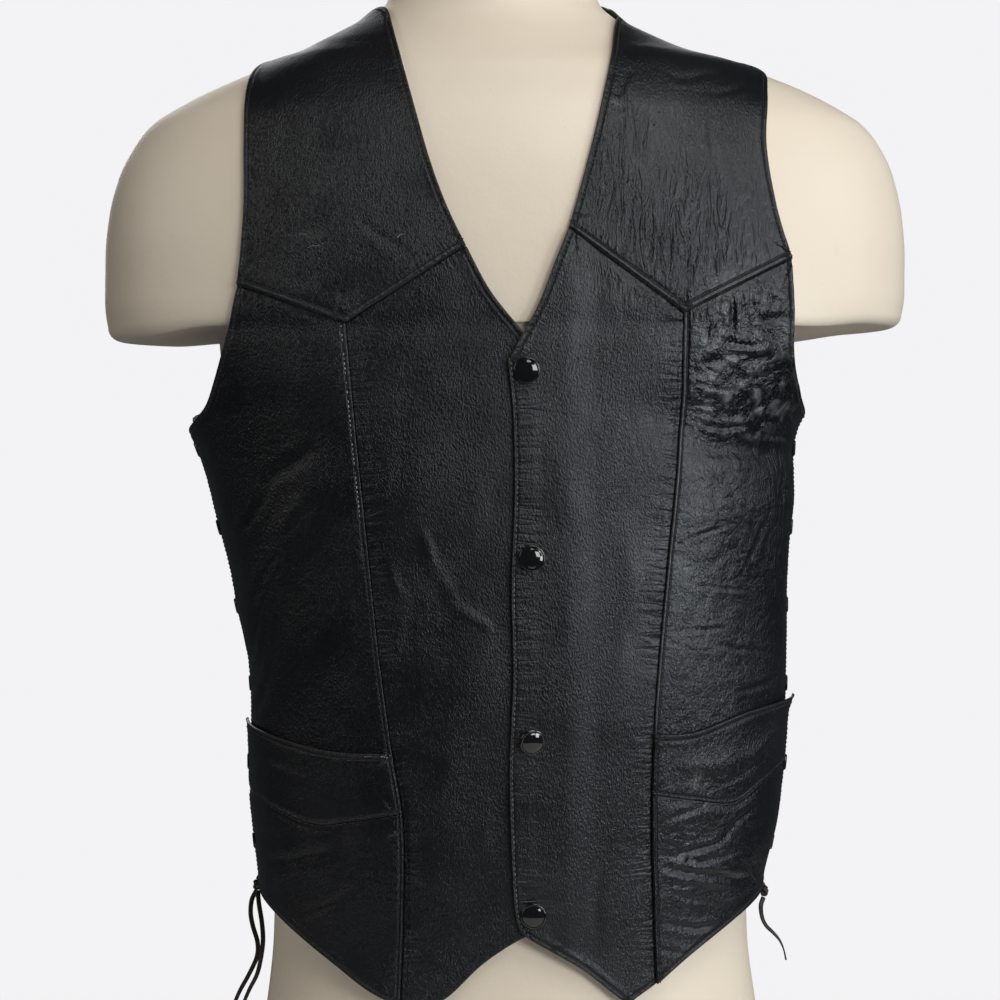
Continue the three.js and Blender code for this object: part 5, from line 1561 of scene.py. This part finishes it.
def formMesh():
    s = formSettings
    turn = np.linspace(0, 2 * np.pi, s["around"], endpoint=False)
    cut, top = s["cut"], s["topRound"]
    rings = []
    for share in np.linspace(0, 1, 5):                      # rounded foot
        inset = s["baseRound"] * (1 - math.sin(share * math.pi / 2))
        level = s["baseRound"] * (1 - math.cos(share * math.pi / 2))
        ring = body.point(turn, np.full_like(turn, level))
        ring[:, :2] -= unit(ring[:, :2]) * inset
        rings.append(ring)
    for level in np.linspace(s["baseRound"], cut, 74)[1:]:
        rings.append(body.point(turn, np.full_like(turn, level)))
    inner = body.point(turn, np.full_like(turn, cut))
    outer = caps.point(turn, np.full_like(turn, cut + s["rim"]))
    ledge = np.linalg.norm(outer[:, :2] - inner[:, :2], axis=1)
    radius = np.minimum(s["rim"], 0.45 * ledge)
    inward = unit((inner - outer)[:, :2])
    flatEnd = outer[:, :2] + inward * radius[:, None]
    for share in np.linspace(0, 1, 9)[1:-1]:
        flat = inner[:, :2] * (1 - share) + flatEnd * share
        rings.append(np.column_stack([flat, np.full_like(turn, cut)]))
    for share in np.linspace(0, 1, s["rimSteps"] + 1):
        a = share * math.pi / 2
        ring = outer[:, :2] + inward * (radius * (1 - math.sin(a)))[:, None]
        rings.append(np.column_stack([ring, cut + s["rim"] * (1 - math.cos(a)) + 0 * turn]))
    levels = np.concatenate([np.linspace(cut + s["rim"], 700, 34)[1:], np.linspace(700, 770, 44)[1:],
                             np.linspace(770, top, 14)[1:]])
    for level in levels:
        rings.append(caps.point(turn, np.full_like(turn, level)))
    for share in (0.35, 0.7, 1.0):
        ring = caps.point(turn, np.full_like(turn, top + 2 * share))
        ring[:, :2] -= unit(ring[:, :2] - (s["neckShift"], 0)) * 2 * share ** 2
        rings.append(ring)
    points = np.vstack(rings)
    near = np.exp(-((points[:, 2] - cut) / 30) ** 2) * smoothStep(np.abs(points[:, 0]), 176, 215)
    points[:, 2] += s["slope"] * points[:, 0] * near
    count = s["around"]
    faces = []
    for j in range(len(rings) - 1):
        for i in range(count):
            k = (i + 1) % count
            faces.append((j * count + i, j * count + k, (j + 1) * count + k, (j + 1) * count + i))
    faces.append(tuple(reversed(range(count))))
    faces.append(tuple((len(rings) - 1) * count + i for i in range(count)))
    return points, faces


points, faces = formMesh()
settle(meshPiece("torso_form", points, faces, formSkin), "form_plastic", "dress_form")
print("form made")


# Floor, light and background

floorMesh = bpy.data.meshes.new("floor")
ringPoints = [(0.56 * math.cos(a), 0.56 * math.sin(a), 0.0) for a in np.linspace(0, 2 * math.pi, 97)[:-1]]
floorMesh.from_pydata(ringPoints, [], [tuple(range(96))])
floorFinish = Finish("studio_floor")
floorPlace = floorFinish.node("ShaderNodeTexCoord", out="Object")
floorTone = floorFinish.noise(floorPlace, 3.0, 2.0)
floorMesh.materials.append(floorFinish.surface(
    Base_Color=floorFinish.mixed(floorTone, (0.80, 0.79, 0.79, 1.0), (0.84, 0.83, 0.83, 1.0)), Roughness=0.7))
floor = bpy.data.objects.new("floor", floorMesh)
scene.collection.objects.link(floor)

lights = {
    "low": {"place": (1.66, -1.39, 0.30), "aim": (0.12, -0.1, 0.52), "size": (0.55, 0.7), "power": 12,
            "colour": (0.94, 0.99, 1.0)},
    "window": {"place": (1.85, -0.60, 1.25), "aim": (0.05, 0, 0.5), "size": (0.9, 1.0), "power": 9,
               "colour": (0.93, 0.98, 1.0)},
    "key": {"place": (1.25, -2.1, 1.0), "aim": (0, 0, 0.48), "size": (0.9, 1.0), "power": 21,
            "colour": (1.0, 0.99, 0.97)},
    "above": {"place": (0.55, -1.35, 2.2), "aim": (0, 0, 0.5), "size": (1.4, 1.0), "power": 19,
              "colour": (1.0, 0.97, 0.92)},
    "left": {"place": (-2.1, -0.5, 1.3), "aim": (0, 0, 0.5), "size": (0.9, 1.2), "power": 9,
             "colour": (1.0, 0.95, 0.86)},
    "behind": {"place": (-0.4, 2.0, 1.3), "aim": (0, 0, 0.5), "size": (1.6, 1.2), "power": 12,
               "colour": (1.0, 1.0, 1.0)},
}
for name, s in lights.items():
    data = bpy.data.lights.new(name, "AREA")
    data.shape = "RECTANGLE"
    data.size, data.size_y = s["size"]
    data.energy, data.color = s["power"], s["colour"]
    lamp = bpy.data.objects.new(name, data)
    lamp.location = s["place"]
    lamp.rotation_euler = (Vector(s["aim"]) - Vector(s["place"])).to_track_quat("-Z", "Y").to_euler()
    scene.collection.objects.link(lamp)

world = bpy.data.worlds.new("studio")
world.use_nodes = True
tree = world.node_tree
tree.nodes.clear()
seen, lit = tree.nodes.new("ShaderNodeBackground"), tree.nodes.new("ShaderNodeBackground")
seen.inputs["Color"].default_value = (0.896, 0.888, 0.905, 1.0)
lit.inputs["Color"].default_value = (0.80, 0.86, 0.95, 1.0)
lit.inputs["Strength"].default_value = 0.055
rays, blend = tree.nodes.new("ShaderNodeLightPath"), tree.nodes.new("ShaderNodeMixShader")
output = tree.nodes.new("ShaderNodeOutputWorld")
tree.links.new(rays.outputs["Is Camera Ray"], blend.inputs[0])
tree.links.new(lit.outputs[0], blend.inputs[1])
tree.links.new(seen.outputs[0], blend.inputs[2])
tree.links.new(blend.outputs[0], output.inputs["Surface"])
scene.world = world
scene.view_settings.view_transform = "Standard"
